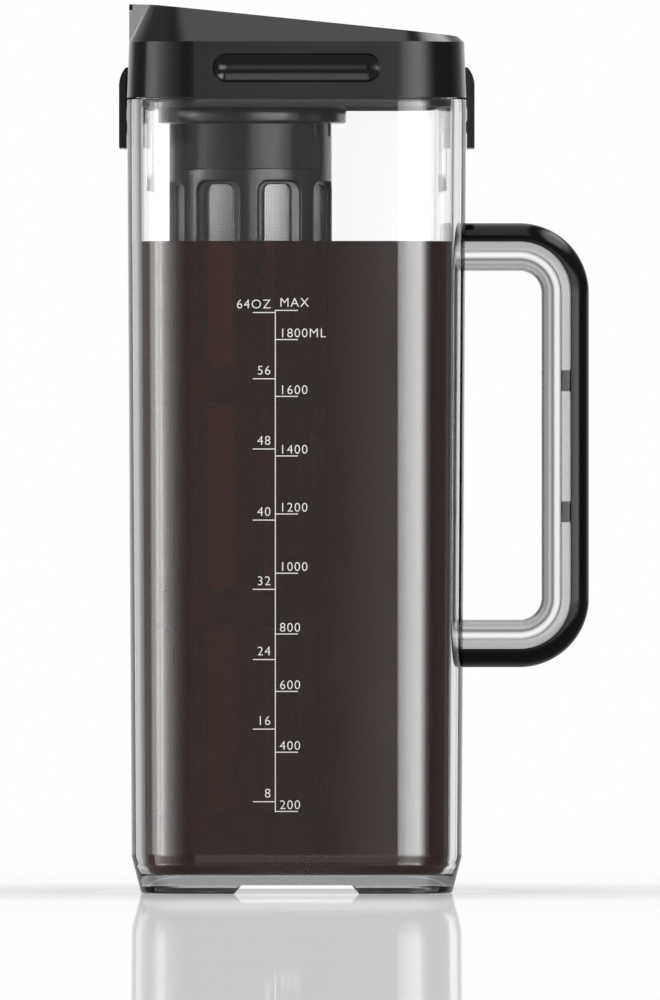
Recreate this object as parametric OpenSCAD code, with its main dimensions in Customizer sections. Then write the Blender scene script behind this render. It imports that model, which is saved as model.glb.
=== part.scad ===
// Cold brew coffee maker: a clear square pitcher with a black latched lid, a pouring
// flap, a hanging filter basket and a two-part handle.
// The resting plane is z = 0, the spout points to -X and the handle to +X.

/* [Pitcher] */
// Outer width of the body at its shoulder, across the flats
body_w = 112; // [104:1:124]
// Height of the shoulder under the lid
shoulder_z = 262.1; // [230:0.1:300]
// Radius of the four upright corners at the shoulder
corner_r = 22.5; // [20:0.5:26]
// Thickness of the clear wall
wall = 4.4; // [3.6:0.1:4.6]
// How much each side leans in from the shoulder down to the foot
draft = 1.5; // [0.5:0.1:2.5]
// Height of the tapered foot
foot_h = 12.2; // [9:0.1:16]
// How much each side of the foot tapers in
foot_taper = 3.2; // [1:0.1:5]
// Height of the inside floor
floor_z = 6.6; // [5:0.1:9]
// Depth of the recess under the floor
foot_recess = 3; // [1:0.1:4]
// Width of the drain notch in the front of the foot rim, at the bottom
notch_w = 41.2; // [20:0.1:60]
// Height of the neck that the lid covers
neck_h = 2.9; // [2:0.1:3.2]

/* [Handle] */
// Width of the handle
handle_w = 22; // [18:0.5:28]
// Distance from the body's side to the centres of the two bends
bend_reach = 17.7; // [14:0.1:22]
// Distance from the shoulder down to the upper bend's centre
bend_drop = 63.8; // [50:0.1:80]
// Distance between the two bends' centres
bend_span = 100.9; // [90:0.1:120]
// Radius of the finger opening's corners
bend_r = 7.3; // [5:0.1:9]
// Thickness of the clear channel's web
web_t = 6.3; // [4:0.1:8]
// Height of the clear channel's two flanges
flange_h = 3.3; // [2:0.1:5]
// Thickness of the black grip
grip_t = 6.2; // [4:0.1:8]

/* [Lid] */
// Height of the upright band
band_h = 18.3; // [16:0.1:24]
// Height of the spout tip above the band
tip_h = 13.2; // [11:0.1:16]
// Slope of the lid's top, in degrees
slope = 5.93; // [4:0.01:6.5]
// Thickness of the lid's band at its lower edge
band_wall = 2.3; // [2:0.1:2.4]
// Thickness of the lid's roof
roof_t = 2.6; // [2:0.1:3]
// Half width of the spout's nose
nose_half = 9; // [8:0.5:11]
// Length of the finger trough in the front and the back
trough_len = 55.4; // [40:0.1:60]
// Height of the finger trough
trough_h = 9.6; // [8:0.1:10]
// Depth of the finger trough
trough_depth = 2.4; // [1.5:0.1:2.6]
// Depth of the plug below the shoulder
plug_depth = 2.7; // [2:0.1:4]

/* [Latches] */
// Width of each latch
latch_w = 34; // [28:1:36]
// Distance from the shoulder down to a latch's lower edge
latch_drop = 16; // [14:0.1:18]
// How far a latch stands out past the body
latch_out = 2.8; // [2:0.1:3.4]
// Radius of the latch pins
latch_pin_r = 1.2; // [1:0.1:1.4]

/* [Spout flap] */
// Distance from the spout tip to the flap's hinge
flap_len = 38; // [34:0.5:42]
// Width of the flap
flap_w = 22; // [20:0.5:24]
// Thickness of the flap
flap_t = 2; // [1.8:0.1:2.2]
// Radius of the flap's hinge pin
flap_pin_r = 0.9; // [0.8:0.05:1]

/* [Filter] */
// Distance of the filter's axis from the body's axis, towards the spout
filter_x = 15.9; // [14:0.1:16]
// Outer radius of the filter
filter_r = 27.6; // [26:0.1:28.2]
// How far the collar's flange stands out past the filter
flange_lip = 4.7; // [4:0.1:4.9]
// Height of the collar below its flange
collar_h = 15.6; // [12:0.1:20]
// Height of the filter's lower end
filter_low_z = 20; // [14:0.1:26]
// Thickness of the cage's ribs
rib_t = 3; // [2.6:0.1:3.4]
// Number of windows around the cage
window_count = 8; // [6:1:10]
// Angle that each window spans, in degrees
window_span = 32; // [24:1:32]
// Thickness of the frame inside each window that holds the mesh
frame_t = 0.8; // [0.6:0.1:1.4]
// Width of that frame's ledge at the sides of the window
frame_side = 2.8; // [1:0.1:3]
// Width of that frame's ledge above and below the window
frame_end = 1; // [0.6:0.1:2]
// Thickness of the woven mesh
mesh_t = 0.4; // [0.3:0.05:0.6]

/* [Fits] */
// Gap between the lid and the pitcher
lid_gap = 0.3; // [0.25:0.05:0.35]
// Running clearance of a pin in its bore
pin_clearance = 0.05; // [0.03:0.01:0.08]
// Gap around a part that swings
swing_gap = 0.4; // [0.3:0.05:0.45]
// Gap between the clear channel's flanges and the grip
grip_gap = 0.15; // [0.1:0.05:0.2]

/* [Hidden] */
$fn = 64;
thin = 0.01;
body_half = body_w / 2;

// Pitcher
neck_inset = band_wall + swing_gap;
neck_top_z = shoulder_z + neck_h;
floor_corner_h = 6.4;
floor_corner_in = 3.6;
rim_w = 3.2;
notch_h = 2.8;
notch_flare = 2.4;
pocket_depth = 2.5;
pocket_side = 3;
pocket_w = latch_w + 2 * pocket_side;
latch_low_z = shoulder_z - latch_drop;
pocket_below = 12;
pocket_low_z = latch_low_z - pocket_below;
rib_w = latch_w - 6;
rib_h = 4;
rib_low_z = shoulder_z - 6.7;
rib_high_z = rib_low_z + rib_h;
rib_out_x = body_half + 0.1;

// Handle
bend_x = body_half + bend_reach;
bend_top_z = shoulder_z - bend_drop;
bend_low_z = bend_top_z - bend_span;
web_r = bend_r + web_t;
channel_r = web_r + flange_h;
handle_r = channel_r + grip_t;
flange_w = 2.5;
channel_round = 4.2;
grip_round = grip_t - 0.2;
tab_h = 7;
tab_from_low = 24.9;
tab_from_top = 32.6;
tab_low_z = [bend_low_z + tab_from_low, bend_top_z - tab_from_top];
arm_len = bend_x - body_half + 12;

// Lid
band_low_z = shoulder_z + lid_gap;
band_top_z = band_low_z + band_h;
band_lean = 0.7;
taper_h = 18;
taper_side = 18;
taper_left = 9;
taper_right_r = 3;
taper_left_r = 8;
tip_x = -body_half + 0.5;
tip_z = band_top_z + tip_h;
nose_r = 2.5;
spout_root_h = 12.4;
spout_root_r = 12.2;
spout_root_in = 6.2;
trough_rise = 9.7;
trough_z = band_low_z + trough_rise;
trough_r = (trough_h * trough_h / 4 + trough_depth * trough_depth) / (2 * trough_depth);
trough_face_y = body_half - band_lean * trough_rise / band_h;
trough_axis_y = trough_face_y + trough_r - trough_depth;
trough_ball_x = trough_len / 2 - trough_h / 2;
trough_back = 1.8;
post_r = 2;
post_in = 10;
post_off = body_half - post_in;
ear_back = 2.8;
ear_depth = 6;
ear_rise = 3;
seat_margin = 4.5;
seat_rear = 7;
scoop_r = 8.6;
scoop_u = 12;
scoop_out = 2;
scoop_lift = 7;

// Plug under the lid
plate_low_z = neck_top_z + lid_gap;
plate_top_z = plate_low_z + 1.3;
plug_low_z = shoulder_z - plug_depth;
plug_inset = wall + 0.6;
plug_wall = 2;
seal_low_z = plug_low_z + 2;
seal_h = 2.6;
seal_depth = 1.2;
seal_inset = wall + lid_gap;
slot_w = 3.4;
slot_pitch = 5.5;
slot_first = 12;
slot_end = 14.5;
slot_step = 1.5;

// Latches
latch_x = body_half - band_wall - 0.3;
latch_z = plate_top_z + 3;
latch_barrel_r = 2.6;
latch_outer_x = body_half + latch_out;
latch_inner_x = body_half - 1.8;
latch_skin = 2.4;
latch_arc_r = 9.3;
latch_arc_z = shoulder_z + 4.6;
hook_play = 0.45;
hook_h = 3.4;
hook_top_z = rib_low_z - hook_play;
hook_low_z = hook_top_z - hook_h;
ear_w = 4;
ear_bore_depth = 3.2;
latch_top_rise = 4.2;
latch_window_top_z = latch_z + latch_top_rise + 1.4;
latch_pin_len = latch_w + 2 * (swing_gap + ear_bore_depth);

// Spout flap, in the sloped frame whose origin is the spout tip
flap_barrel_r = 1.9;
flap_recess = flap_t + swing_gap;
flap_side_gap = 0.3;
flap_rear_gap = 1.2;
flap_pin_in = 2.7;
flap_pin_len = flap_w + 2 * flap_pin_in;
flap_tip_in = 0.8;
mouth_near = 4.4;
mouth_far = 19.6;
mouth_w = 13.2;
mouth_round = 3;
plug_play = 0.6;
plug_t = 2.2;
seat_t = 6;

// Filter
collar_top_z = plug_low_z;
collar_flange_r = filter_r + flange_lip;
collar_flange_t = 5;
collar_low_z = collar_top_z - collar_flange_t - collar_h;
collar_wall = 2;
mark_angles = [52.4, 74.5];
mark_w = 1;
mark_h = 4.3;
mark_out = 0.5;
collar_bore_r = filter_r - collar_wall;
cage_bore_r = filter_r - rib_t;
neck_ring_r = filter_r + 1.5;
neck_ring_h = 5;
ring_gap = 0.3;
ring_bore_r = neck_ring_r + ring_gap;
gasket_t = 0.7;
ring_low_z = collar_top_z + gasket_t + ring_gap;
spigot_h = 4;
row_count = 3;
row_gap = 10.6;
cage_head = 3.7;
cage_foot = 6.1;
row_h = (collar_low_z - cage_head - filter_low_z - cage_foot - (row_count - 1) * row_gap) / row_count;
window_w = 2 * filter_r * sin(window_span / 2);
window_round = 3.6;
frame_round = 2.5;
base_t = 3;

// The plan shape shared by the body, the lid and the plug, set in from the shoulder's outline
module plan(inset) {
    half = body_half - inset;
    r = corner_r - inset;
    square([2 * half, 2 * (half - r)], center = true);
    square([2 * (half - r), 2 * half], center = true);
    for (sx = [-1, 1], sy = [-1, 1])
        translate([sx * (half - r), sy * (half - r)]) circle(r);
}

// A straight prism of that plan
module prism(inset, z0, z1) {
    translate([0, 0, z0]) linear_extrude(z1 - z0) plan(inset);
}

// A tapered block between two insets of that plan
module tapered(inset0, z0, inset1, z1) {
    hull() {
        prism(inset0, z0, z0 + thin);
        prism(inset1, z1 - thin, z1);
    }
}

module both_sides() {
    children();
    mirror([1, 0, 0]) children();
}

module body_block() {
    tapered(draft, foot_h, 0, shoulder_z);
}

// A profile drawn in the XZ plane and given a width along Y
module across(width) {
    rotate([90, 0, 0]) linear_extrude(width, center = true) children();
}

// ---- pitcher ----

module pitcher_cavity() {
    step_z = floor_z + floor_corner_h;
    tapered(wall + draft, step_z, wall, neck_top_z + 1);
    tapered(wall + draft + floor_corner_in, floor_z, wall + draft, step_z + thin);
}

module latch_pocket() {
    floor_x = body_half - pocket_depth;
    ramp = pocket_depth + 4;
    across(pocket_w) polygon([
        [floor_x, shoulder_z + 1],
        [floor_x, pocket_low_z],
        [floor_x + ramp, pocket_low_z - ramp],
        [floor_x + ramp, shoulder_z + 1]
    ]);
}

module catch_rib() {
    root_x = body_half - pocket_depth - 0.2;
    translate([root_x, -rib_w / 2, rib_low_z])
        cube([rib_out_x - root_x, rib_w, rib_h]);
}

module foot_notch() {
    half = notch_w / 2;
    translate([0, -body_half, 0]) across(body_w) polygon([
        [-half, -1],
        [half, -1],
        [half, 0],
        [half - notch_flare, notch_h],
        [notch_flare - half, notch_h],
        [-half, 0]
    ]);
}

module pitcher() {
    color([0.86, 0.9, 0.92, 0.35]) {
        difference() {
            union() {
                body_block();
                tapered(draft + foot_taper, 0, draft, foot_h + thin);
                prism(neck_inset, shoulder_z - 1, neck_top_z);
            }
            pitcher_cavity();
            prism(draft + foot_taper + rim_w, -1, foot_recess);
            foot_notch();
            both_sides() latch_pocket();
        }
        both_sides() catch_rib();
    }
}

// ---- handle ----

// Sweeps a section, drawn as distance from the bend's axis by width, around the handle's loop
module swept() {
    translate([bend_x, 0, bend_low_z]) {
        linear_extrude(bend_top_z - bend_low_z) children();
        rotate([90, 0, 0]) rotate_extrude(angle = 90, start = -90) children();
        rotate([0, 90, 0]) translate([0, 0, -arm_len]) linear_extrude(arm_len) children();
    }
    translate([bend_x, 0, bend_top_z]) {
        rotate([90, 0, 0]) rotate_extrude(angle = 90) children();
        rotate([0, -90, 0]) linear_extrude(arm_len) children();
    }
}

// A bar's section from r0 to r1, with round corners on its inner or its outer side
module bar_section(r0, r1, corner, inner) {
    half = handle_w / 2;
    flat0 = inner ? r0 + corner : r0;
    flat1 = inner ? r1 : r1 - corner;
    translate([flat0, -half]) square([flat1 - flat0, handle_w]);
    translate([r0, corner - half]) square([r1 - r0, handle_w - 2 * corner]);
    intersection() {
        for (side = [-1, 1])
            translate([inner ? flat0 : flat1, side * (half - corner)]) circle(corner);
        translate([r0, -half]) square([r1 - r0, handle_w]);
    }
}

module channel_section() {
    bar_section(bend_r, web_r, channel_round, true);
    for (side = [-1, 1])
        translate([web_r - 0.5, side * (handle_w - flange_w) / 2 - flange_w / 2])
            square([flange_h + 0.5 - grip_gap, flange_w]);
}

module handle_frame() {
    color([0.82, 0.85, 0.87, 0.4])
    difference() {
        swept() channel_section();
        body_block();
    }
}

module grip_tab(z) {
    half = handle_w / 2 - flange_w - ring_gap;
    translate([bend_x + web_r, -half, z]) cube([flange_h + 0.5, 2 * half, tab_h]);
}

module handle_grip() {
    color([0.07, 0.07, 0.07]) {
        difference() {
            swept() bar_section(channel_r, handle_r, grip_round, false);
            body_block();
        }
        for (z = tab_low_z)
            grip_tab(z);
    }
}

// ---- lid ----

// Moves what follows into the sloped frame: x down the slope, z square to it
module on_slope() {
    translate([tip_x, 0, tip_z]) rotate([0, slope, 0]) children();
}

// Everything below the sloped top, lowered by the depth given
module below_slope(depth) {
    on_slope() translate([-60, -100, -depth - 120]) cube([240, 200, 120]);
}

// The tapered top block, set in by the amount given, before the slope cuts it
module taper_block(inset) {
    top_z = band_top_z + taper_h;
    side = body_half - band_lean - taper_side - inset;
    left = body_half - band_lean - taper_left - inset;
    hull() {
        prism(band_lean + inset, band_top_z, band_top_z + thin);
        for (sy = [-1, 1]) {
            translate([side - taper_right_r, sy * (side - taper_right_r), top_z - thin])
                cylinder(h = thin, r = taper_right_r);
            translate([taper_left_r - left, sy * (side - taper_left_r), top_z - thin])
                cylinder(h = thin, r = taper_left_r);
        }
    }
}

module spout_block() {
    root_x = spout_root_r + spout_root_in + band_lean - body_half;
    root_y = body_half - band_lean - spout_root_h - spout_root_r;
    hull() {
        for (sy = [-1, 1]) {
            translate([tip_x + nose_r, sy * (nose_half - nose_r), band_top_z])
                cylinder(h = tip_h + 4, r = nose_r);
            translate([root_x, sy * root_y, band_top_z + spout_root_h - 1])
                cylinder(h = 4, r = spout_root_r);
        }
    }
}

module lid_outside() {
    tapered(0, band_low_z, band_lean, band_top_z + thin);
    intersection() {
        union() {
            taper_block(0);
            spout_block();
        }
        below_slope(0);
    }
}

module trough_capsule(r) {
    for (sy = [-1, 1])
        translate([0, sy * trough_axis_y, trough_z]) {
            rotate([0, 90, 0]) cylinder(h = 2 * trough_ball_x, r = r, center = true);
            for (sx = [-1, 1])
                translate([sx * trough_ball_x, 0, 0]) sphere(r);
        }
}

module latch_ears() {
    near = latch_w / 2 + swing_gap;
    for (sy = [-1, 1])
        translate([latch_x - ear_back, sy * (near + ear_w / 2) - ear_w / 2, plate_top_z + lid_gap])
            cube([ear_depth, ear_w, latch_z + ear_rise - plate_top_z - lid_gap]);
}

module lid_posts() {
    for (sx = [-1, 1], sy = [-1, 1])
        translate([sx * post_off, sy * post_off, plate_top_z]) cylinder(h = 40, r = post_r);
}

// What stays solid inside the lid: trough backs, latch ears, corner posts and the flap's seat
module lid_bosses() {
    trough_capsule(trough_r + trough_back);
    both_sides() latch_ears();
    lid_posts();
    on_slope() translate([mouth_near, -flap_w / 2 - seat_margin, -seat_t])
        cube([flap_len - mouth_near + seat_rear, flap_w + 2 * seat_margin, seat_t]);
}

module lid_hollow() {
    difference() {
        union() {
            prism(band_wall, band_low_z - 1, band_top_z - 2);
            intersection() {
                translate([0, 0, -roof_t]) taper_block(band_wall - band_lean);
                below_slope(roof_t);
            }
        }
        lid_bosses();
    }
}

module flap_recess_cut() {
    half = flap_w / 2 + flap_side_gap;
    rear = flap_len + flap_barrel_r + flap_rear_gap;
    on_slope() {
        translate([-4, -half, -flap_recess]) cube([rear + 4, 2 * half, flap_recess + 3]);
        translate([flap_len, half, -flap_barrel_r]) rotate([90, 0, 0])
            cylinder(h = 2 * half, r = flap_barrel_r + swing_gap);
        translate([flap_len, flap_pin_len / 2, -flap_barrel_r]) rotate([90, 0, 0])
            cylinder(h = flap_pin_len, r = flap_pin_r);
    }
}

// A rounded slot that runs down through the roof under the flap
module mouth_block(near, far, width, low, high) {
    r = mouth_round;
    on_slope() translate([0, 0, low]) linear_extrude(high - low) {
        translate([near + r, -width / 2]) square([far - near - 2 * r, width]);
        translate([near, r - width / 2]) square([far - near, width - 2 * r]);
        for (x = [near + r, far - r], sy = [-1, 1])
            translate([x, sy * (width / 2 - r)]) circle(r);
    }
}

module flap_finger_scoops() {
    on_slope() for (sy = [-1, 1])
        translate([scoop_u, sy * (flap_w / 2 + scoop_out), scoop_lift]) sphere(scoop_r);
}

module latch_window() {
    width = latch_w + 2 * swing_gap;
    translate([body_half - 6, -width / 2, band_low_z - 1])
        cube([12, width, latch_window_top_z - band_low_z + 1]);
}

module latch_pin_bore() {
    translate([latch_x, latch_pin_len / 2, latch_z]) rotate([90, 0, 0])
        cylinder(h = latch_pin_len, r = latch_pin_r);
}

module lid_shell() {
    color([0.13, 0.13, 0.13])
    difference() {
        lid_outside();
        lid_hollow();
        trough_capsule(trough_r);
        both_sides() latch_window();
        both_sides() latch_pin_bore();
        flap_recess_cut();
        flap_finger_scoops();
        mouth_block(mouth_near, mouth_far, mouth_w, -10, 0);
    }
}

// A straight slot with round ends along Y
module pour_slot(x, y0, y1) {
    translate([x, (y0 + y1) / 2]) {
        square([slot_w, y1 - y0 - slot_w], center = true);
        for (sy = [-1, 1])
            translate([0, sy * (y1 - y0 - slot_w) / 2]) circle(slot_w / 2);
    }
}

module pour_slots() {
    for (sy = [-1, 1], i = [0 : 2]) {
        x = slot_first - body_half + i * slot_pitch;
        ring_y = sqrt(max(0, pow(collar_flange_r + 2, 2) - pow(x + filter_x, 2)));
        far_y = body_half - slot_end + i * slot_step;
        translate([0, 0, plate_low_z - 1]) linear_extrude(4) scale([1, sy])
            pour_slot(x, ring_y + slot_w / 2, far_y);
    }
}

module lid_base() {
    color([0.17, 0.17, 0.17])
    difference() {
        union() {
            prism(neck_inset, plate_low_z, plate_top_z);
            difference() {
                prism(plug_inset, plug_low_z, plate_low_z + 0.5);
                prism(plug_inset + plug_wall, plug_low_z - 1, plate_low_z);
            }
            translate([-filter_x, 0, ring_low_z])
                cylinder(h = plate_low_z - ring_low_z + 0.5, r = collar_flange_r);
        }
        translate([-filter_x, 0, ring_low_z - 1])
            cylinder(h = plate_low_z - ring_low_z + 1, r = ring_bore_r);
        seal_ring(plug_inset - 1);
        pour_slots();
    }
}

module seal_ring(outer_inset) {
    difference() {
        prism(outer_inset, seal_low_z, seal_low_z + seal_h);
        prism(plug_inset + seal_depth, seal_low_z - 1, seal_low_z + seal_h + 1);
    }
}

module lid_seal() {
    color([0.3, 0.3, 0.31]) seal_ring(seal_inset);
}

// ---- latches ----

// The right latch in the XZ plane: a skin with an inner block, a hook and a round barrel
module latch_profile() {
    skin_x = latch_outer_x - latch_skin;
    arc_x = latch_outer_x - latch_arc_r;
    inner_low_z = rib_high_z + hook_play;
    difference() {
        union() {
            translate([skin_x, latch_low_z]) square([latch_skin, latch_arc_z - latch_low_z]);
            translate([latch_inner_x, hook_low_z])
                square([latch_outer_x - latch_inner_x, hook_top_z - hook_low_z]);
            translate([latch_inner_x, inner_low_z])
                square([latch_outer_x - latch_inner_x, latch_arc_z - inner_low_z]);
            intersection() {
                translate([arc_x, latch_arc_z]) circle(latch_arc_r);
                translate([latch_x, latch_arc_z - 1])
                    square([latch_arc_r + 1, latch_z - latch_arc_z + latch_top_rise]);
            }
            translate([latch_x, latch_z]) circle(latch_barrel_r);
        }
        translate([latch_x, latch_z]) circle(latch_pin_r + pin_clearance);
    }
}

module latch() {
    color([0.13, 0.13, 0.13]) across(latch_w) latch_profile();
}

module latch_right() {
    latch();
}

module latch_left() {
    mirror([1, 0, 0]) latch();
}

module latch_pin_right() {
    color([0.7, 0.71, 0.72]) latch_pin_bore();
}

module latch_pin_left() {
    color([0.7, 0.71, 0.72]) mirror([1, 0, 0]) latch_pin_bore();
}

// ---- spout flap ----

module flap_outline() {
    half = flap_w / 2;
    front = nose_half - flap_tip_in;
    polygon([
        [0.1, -front], [0.1, front], [1.6, half - 0.6], [3.2, half],
        [flap_len, half], [flap_len, -half], [3.2, -half], [1.6, 0.6 - half]
    ]);
}

module spout_flap() {
    color([0.12, 0.12, 0.12])
    on_slope() difference() {
        union() {
            translate([0, 0, -flap_t]) linear_extrude(flap_t) flap_outline();
            translate([flap_len, flap_w / 2, -flap_barrel_r]) rotate([90, 0, 0])
                cylinder(h = flap_w, r = flap_barrel_r);
        }
        translate([flap_len, flap_w / 2 + 1, -flap_barrel_r]) rotate([90, 0, 0])
            cylinder(h = flap_w + 2, r = flap_pin_r + pin_clearance);
    }
}

module spout_flap_pin() {
    color([0.7, 0.71, 0.72])
    on_slope() translate([flap_len, flap_pin_len / 2, -flap_barrel_r]) rotate([90, 0, 0])
        cylinder(h = flap_pin_len, r = flap_pin_r);
}

module spout_seal() {
    color([0.3, 0.3, 0.31])
    mouth_block(mouth_near + plug_play, mouth_far - plug_play, mouth_w - 2 * plug_play,
                -flap_t - plug_t, -flap_t);
}

// ---- filter ----

module at_filter(z) {
    translate([-filter_x, 0, z]) children();
}

module tube(outer_r, inner_r, height) {
    difference() {
        cylinder(h = height, r = outer_r);
        translate([0, 0, -1]) cylinder(h = height + 2, r = inner_r);
    }
}

module collar_marks() {
    for (angle = mark_angles)
        rotate([0, 0, angle - 90])
            translate([filter_r - 0.3, -mark_w / 2, collar_h - mark_h])
                cube([mark_out + 0.3, mark_w, mark_h]);
}

module filter_collar() {
    color([0.2, 0.2, 0.2])
    at_filter(collar_low_z) {
        difference() {
            union() {
                cylinder(h = collar_h + 1, r = filter_r);
                translate([0, 0, collar_h]) cylinder(h = collar_flange_t, r = collar_flange_r);
                translate([0, 0, collar_h + collar_flange_t - 1])
                    cylinder(h = neck_ring_h + 1, r = neck_ring_r);
            }
            translate([0, 0, -1])
                cylinder(h = collar_h + collar_flange_t + neck_ring_h + 2, r = collar_bore_r);
        }
        collar_marks();
    }
}

// One corner of a window's outline, rounded in short straight steps
function window_corner(cx, cz, r, a0) =
    [for (step = [0 : 3]) let (a = a0 + 30 * step) [cx + r * cos(a), cz + r * sin(a)]];

// A window set in by the two amounts given, cut from the radius given outwards
module window_cut(side, end, r, from_r) {
    x = window_w / 2 - side - r;
    z0 = end + r;
    z1 = row_h - end - r;
    translate([from_r, 0, 0]) rotate([90, 0, 90]) linear_extrude(filter_r - from_r + 2)
        polygon(concat(window_corner(x, z1, r, 0), window_corner(-x, z1, r, 90),
                       window_corner(-x, z0, r, 180), window_corner(x, z0, r, 270)));
}

// A window's pocket between the ribs, and the opening in the frame at its floor
module cage_window() {
    window_cut(0, 0, window_round, cage_bore_r + frame_t);
    window_cut(frame_side, frame_end, frame_round, cage_bore_r - 2);
}

// The cage's wall, with a spigot on top that plugs into the collar
module cage_wall() {
    height = collar_low_z - filter_low_z;
    rotate_extrude() polygon([
        [cage_bore_r, 0],
        [filter_r, 0],
        [filter_r, height],
        [collar_bore_r, height],
        [collar_bore_r, height + spigot_h],
        [cage_bore_r, height + spigot_h]
    ]);
}

module filter_cage() {
    pitch = 360 / window_count;
    color([0.2, 0.2, 0.2])
    at_filter(filter_low_z) difference() {
        cage_wall();
        for (i = [0 : window_count - 1], row = [0 : row_count - 1])
            rotate([0, 0, pitch * (i + 0.5)])
                translate([0, 0, cage_foot + row * (row_h + row_gap)]) cage_window();
    }
}

module filter_mesh() {
    color([0.72, 0.73, 0.74])
    at_filter(filter_low_z + base_t)
        tube(cage_bore_r, cage_bore_r - mesh_t, collar_low_z + spigot_h - filter_low_z - base_t);
}

module filter_base() {
    color([0.2, 0.2, 0.2])
    at_filter(filter_low_z) cylinder(h = base_t, r = cage_bore_r);
}

module filter_gasket() {
    color([0.35, 0.35, 0.36])
    at_filter(collar_top_z) tube(collar_flange_r - 0.3, neck_ring_r, gasket_t);
}

pitcher();
handle_frame();
handle_grip();
lid_shell();
lid_base();
lid_seal();
latch_left();
latch_right();
latch_pin_left();
latch_pin_right();
spout_flap();
spout_flap_pin();
spout_seal();
filter_collar();
filter_cage();
filter_mesh();
filter_base();
filter_gasket();
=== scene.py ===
"""Studio scene of a cold brew coffee maker: detailed pieces, finishes, light and camera.

Sizes in the classes are in millimetres, as in the part's source. Meshes and patterns are written
in metres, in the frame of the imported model: +Z up, the handle at +X, the front at -Y.
"""

import logging  # noqa: E402
import math  # noqa: E402
from dataclasses import dataclass, field  # noqa: E402
from enum import Enum  # noqa: E402
from typing import Any, Iterable, Optional, Sequence  # noqa: E402

import bmesh  # noqa: E402
import bpy  # noqa: E402
import numpy as np  # noqa: E402
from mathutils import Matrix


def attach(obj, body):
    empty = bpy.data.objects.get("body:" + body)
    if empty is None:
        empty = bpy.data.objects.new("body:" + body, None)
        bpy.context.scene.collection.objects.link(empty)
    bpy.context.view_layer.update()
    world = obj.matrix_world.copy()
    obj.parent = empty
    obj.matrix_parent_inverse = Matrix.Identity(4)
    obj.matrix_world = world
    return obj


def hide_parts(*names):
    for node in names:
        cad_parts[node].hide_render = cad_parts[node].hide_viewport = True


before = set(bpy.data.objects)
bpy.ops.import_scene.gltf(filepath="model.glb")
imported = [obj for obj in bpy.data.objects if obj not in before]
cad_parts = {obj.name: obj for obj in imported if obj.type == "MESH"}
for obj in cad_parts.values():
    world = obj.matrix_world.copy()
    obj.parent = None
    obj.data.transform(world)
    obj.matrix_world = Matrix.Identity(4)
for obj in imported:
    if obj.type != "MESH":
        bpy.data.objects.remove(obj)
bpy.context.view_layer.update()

LOG = logging.getLogger("coffee_maker")
MM = 0.001
MERGE_M = 2e-7  # points of a new mesh closer than this are one
COPY_MERGE_M = 2e-6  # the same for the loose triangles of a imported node
EDGE_DEG = 28.0  # past this angle an edge of a copied node is rounded and stays sharp
MAP_NAME = "lay"  # texture map that follows a piece's own surface

Color = tuple[float, float, float]
Stops = tuple[tuple[float, float], ...]


class Slot(Enum):
    """Material slots of the record, listed beside the lid's pieces."""

    CLEAR = "clear_plastic"
    LID = "lid_black"
    GRIP = "grip_black"
    FILTER = "filter_black"
    MESH = "mesh_steel"
    SEAL = "seal_grey"


class Body(Enum):
    """Moving bodies of the frame."""

    BODY = "body"
    LID = "lid"
    LATCH_LEFT = "latch_l"
    LATCH_RIGHT = "latch_r"
    FLAP = "flap"
    FILTER = "filter"


# ---------------------------------------------------------------- surfaces


def unit(vectors: np.ndarray) -> np.ndarray:
    """Divides each row by its length.

    Args:
        vectors: Rows of coordinates.

    Returns:
        The rows at length one.
    """
    return vectors / np.linalg.norm(vectors, axis=-1, keepdims=True)


def grid_quads(rows: int, cols: int, wrap: bool = True) -> np.ndarray:
    """Quads of a grid: each joins a point to the next in its row and to the two above them.

    Args:
        rows: Number of rows of points.
        cols: Number of points in a row.
        wrap: Whether the last point of a row joins the first.

    Returns:
        One row of four point numbers for each quad.
    """
    across = cols if wrap else cols - 1
    i, j = np.meshgrid(np.arange(rows - 1), np.arange(across), indexing="ij")
    k = (j + 1) % cols
    quads = np.stack([i * cols + j, i * cols + k, (i + 1) * cols + k, (i + 1) * cols + j], -1)
    return quads.reshape(-1, 4)


def closed_tube(rows: int, cols: int) -> list[list[int]]:
    """Faces of a tube of rings, closed with one face at each end.

    Args:
        rows: Number of rings.
        cols: Number of points in a ring.

    Returns:
        Point numbers of each face.
    """
    last = range(cols * (rows - 1), cols * rows)
    return grid_quads(rows, cols).tolist() + [list(range(cols)), list(last)[::-1]]


def rounded_outline(corners: Sequence[Sequence[float]], steps: int = 5) -> np.ndarray:
    """Rounds the corners of a closed outline.

    An arc of radius r leaves each side at r over the tangent of half the corner's angle and
    turns evenly about the point that lies r from both sides.

    Args:
        corners: Rows of x, y and radius.
        steps: Segments in each arc.

    Returns:
        Points of the rounded outline.
    """
    data = np.array(corners, float)
    at, radius = data[:, :2], data[:, 2:3]
    back, ahead = unit(np.roll(at, 1, 0) - at), unit(np.roll(at, -1, 0) - at)
    half = np.arccos(np.clip((back * ahead).sum(1, keepdims=True), -1, 1)) / 2
    centre = at + unit(back + ahead) * radius / np.sin(half)
    first = at + back * radius / np.tan(half) - centre
    last = at + ahead * radius / np.tan(half) - centre
    start = np.arctan2(first[:, 1:], first[:, :1])
    turn = (np.arctan2(last[:, 1:], last[:, :1]) - start + np.pi) % (2 * np.pi) - np.pi
    angle = start + turn * np.linspace(0, 1, steps + 1)
    arcs = centre[:, None] + radius[:, None] * np.stack([np.cos(angle), np.sin(angle)], -1)
    return arcs.reshape(-1, 2)


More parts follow.
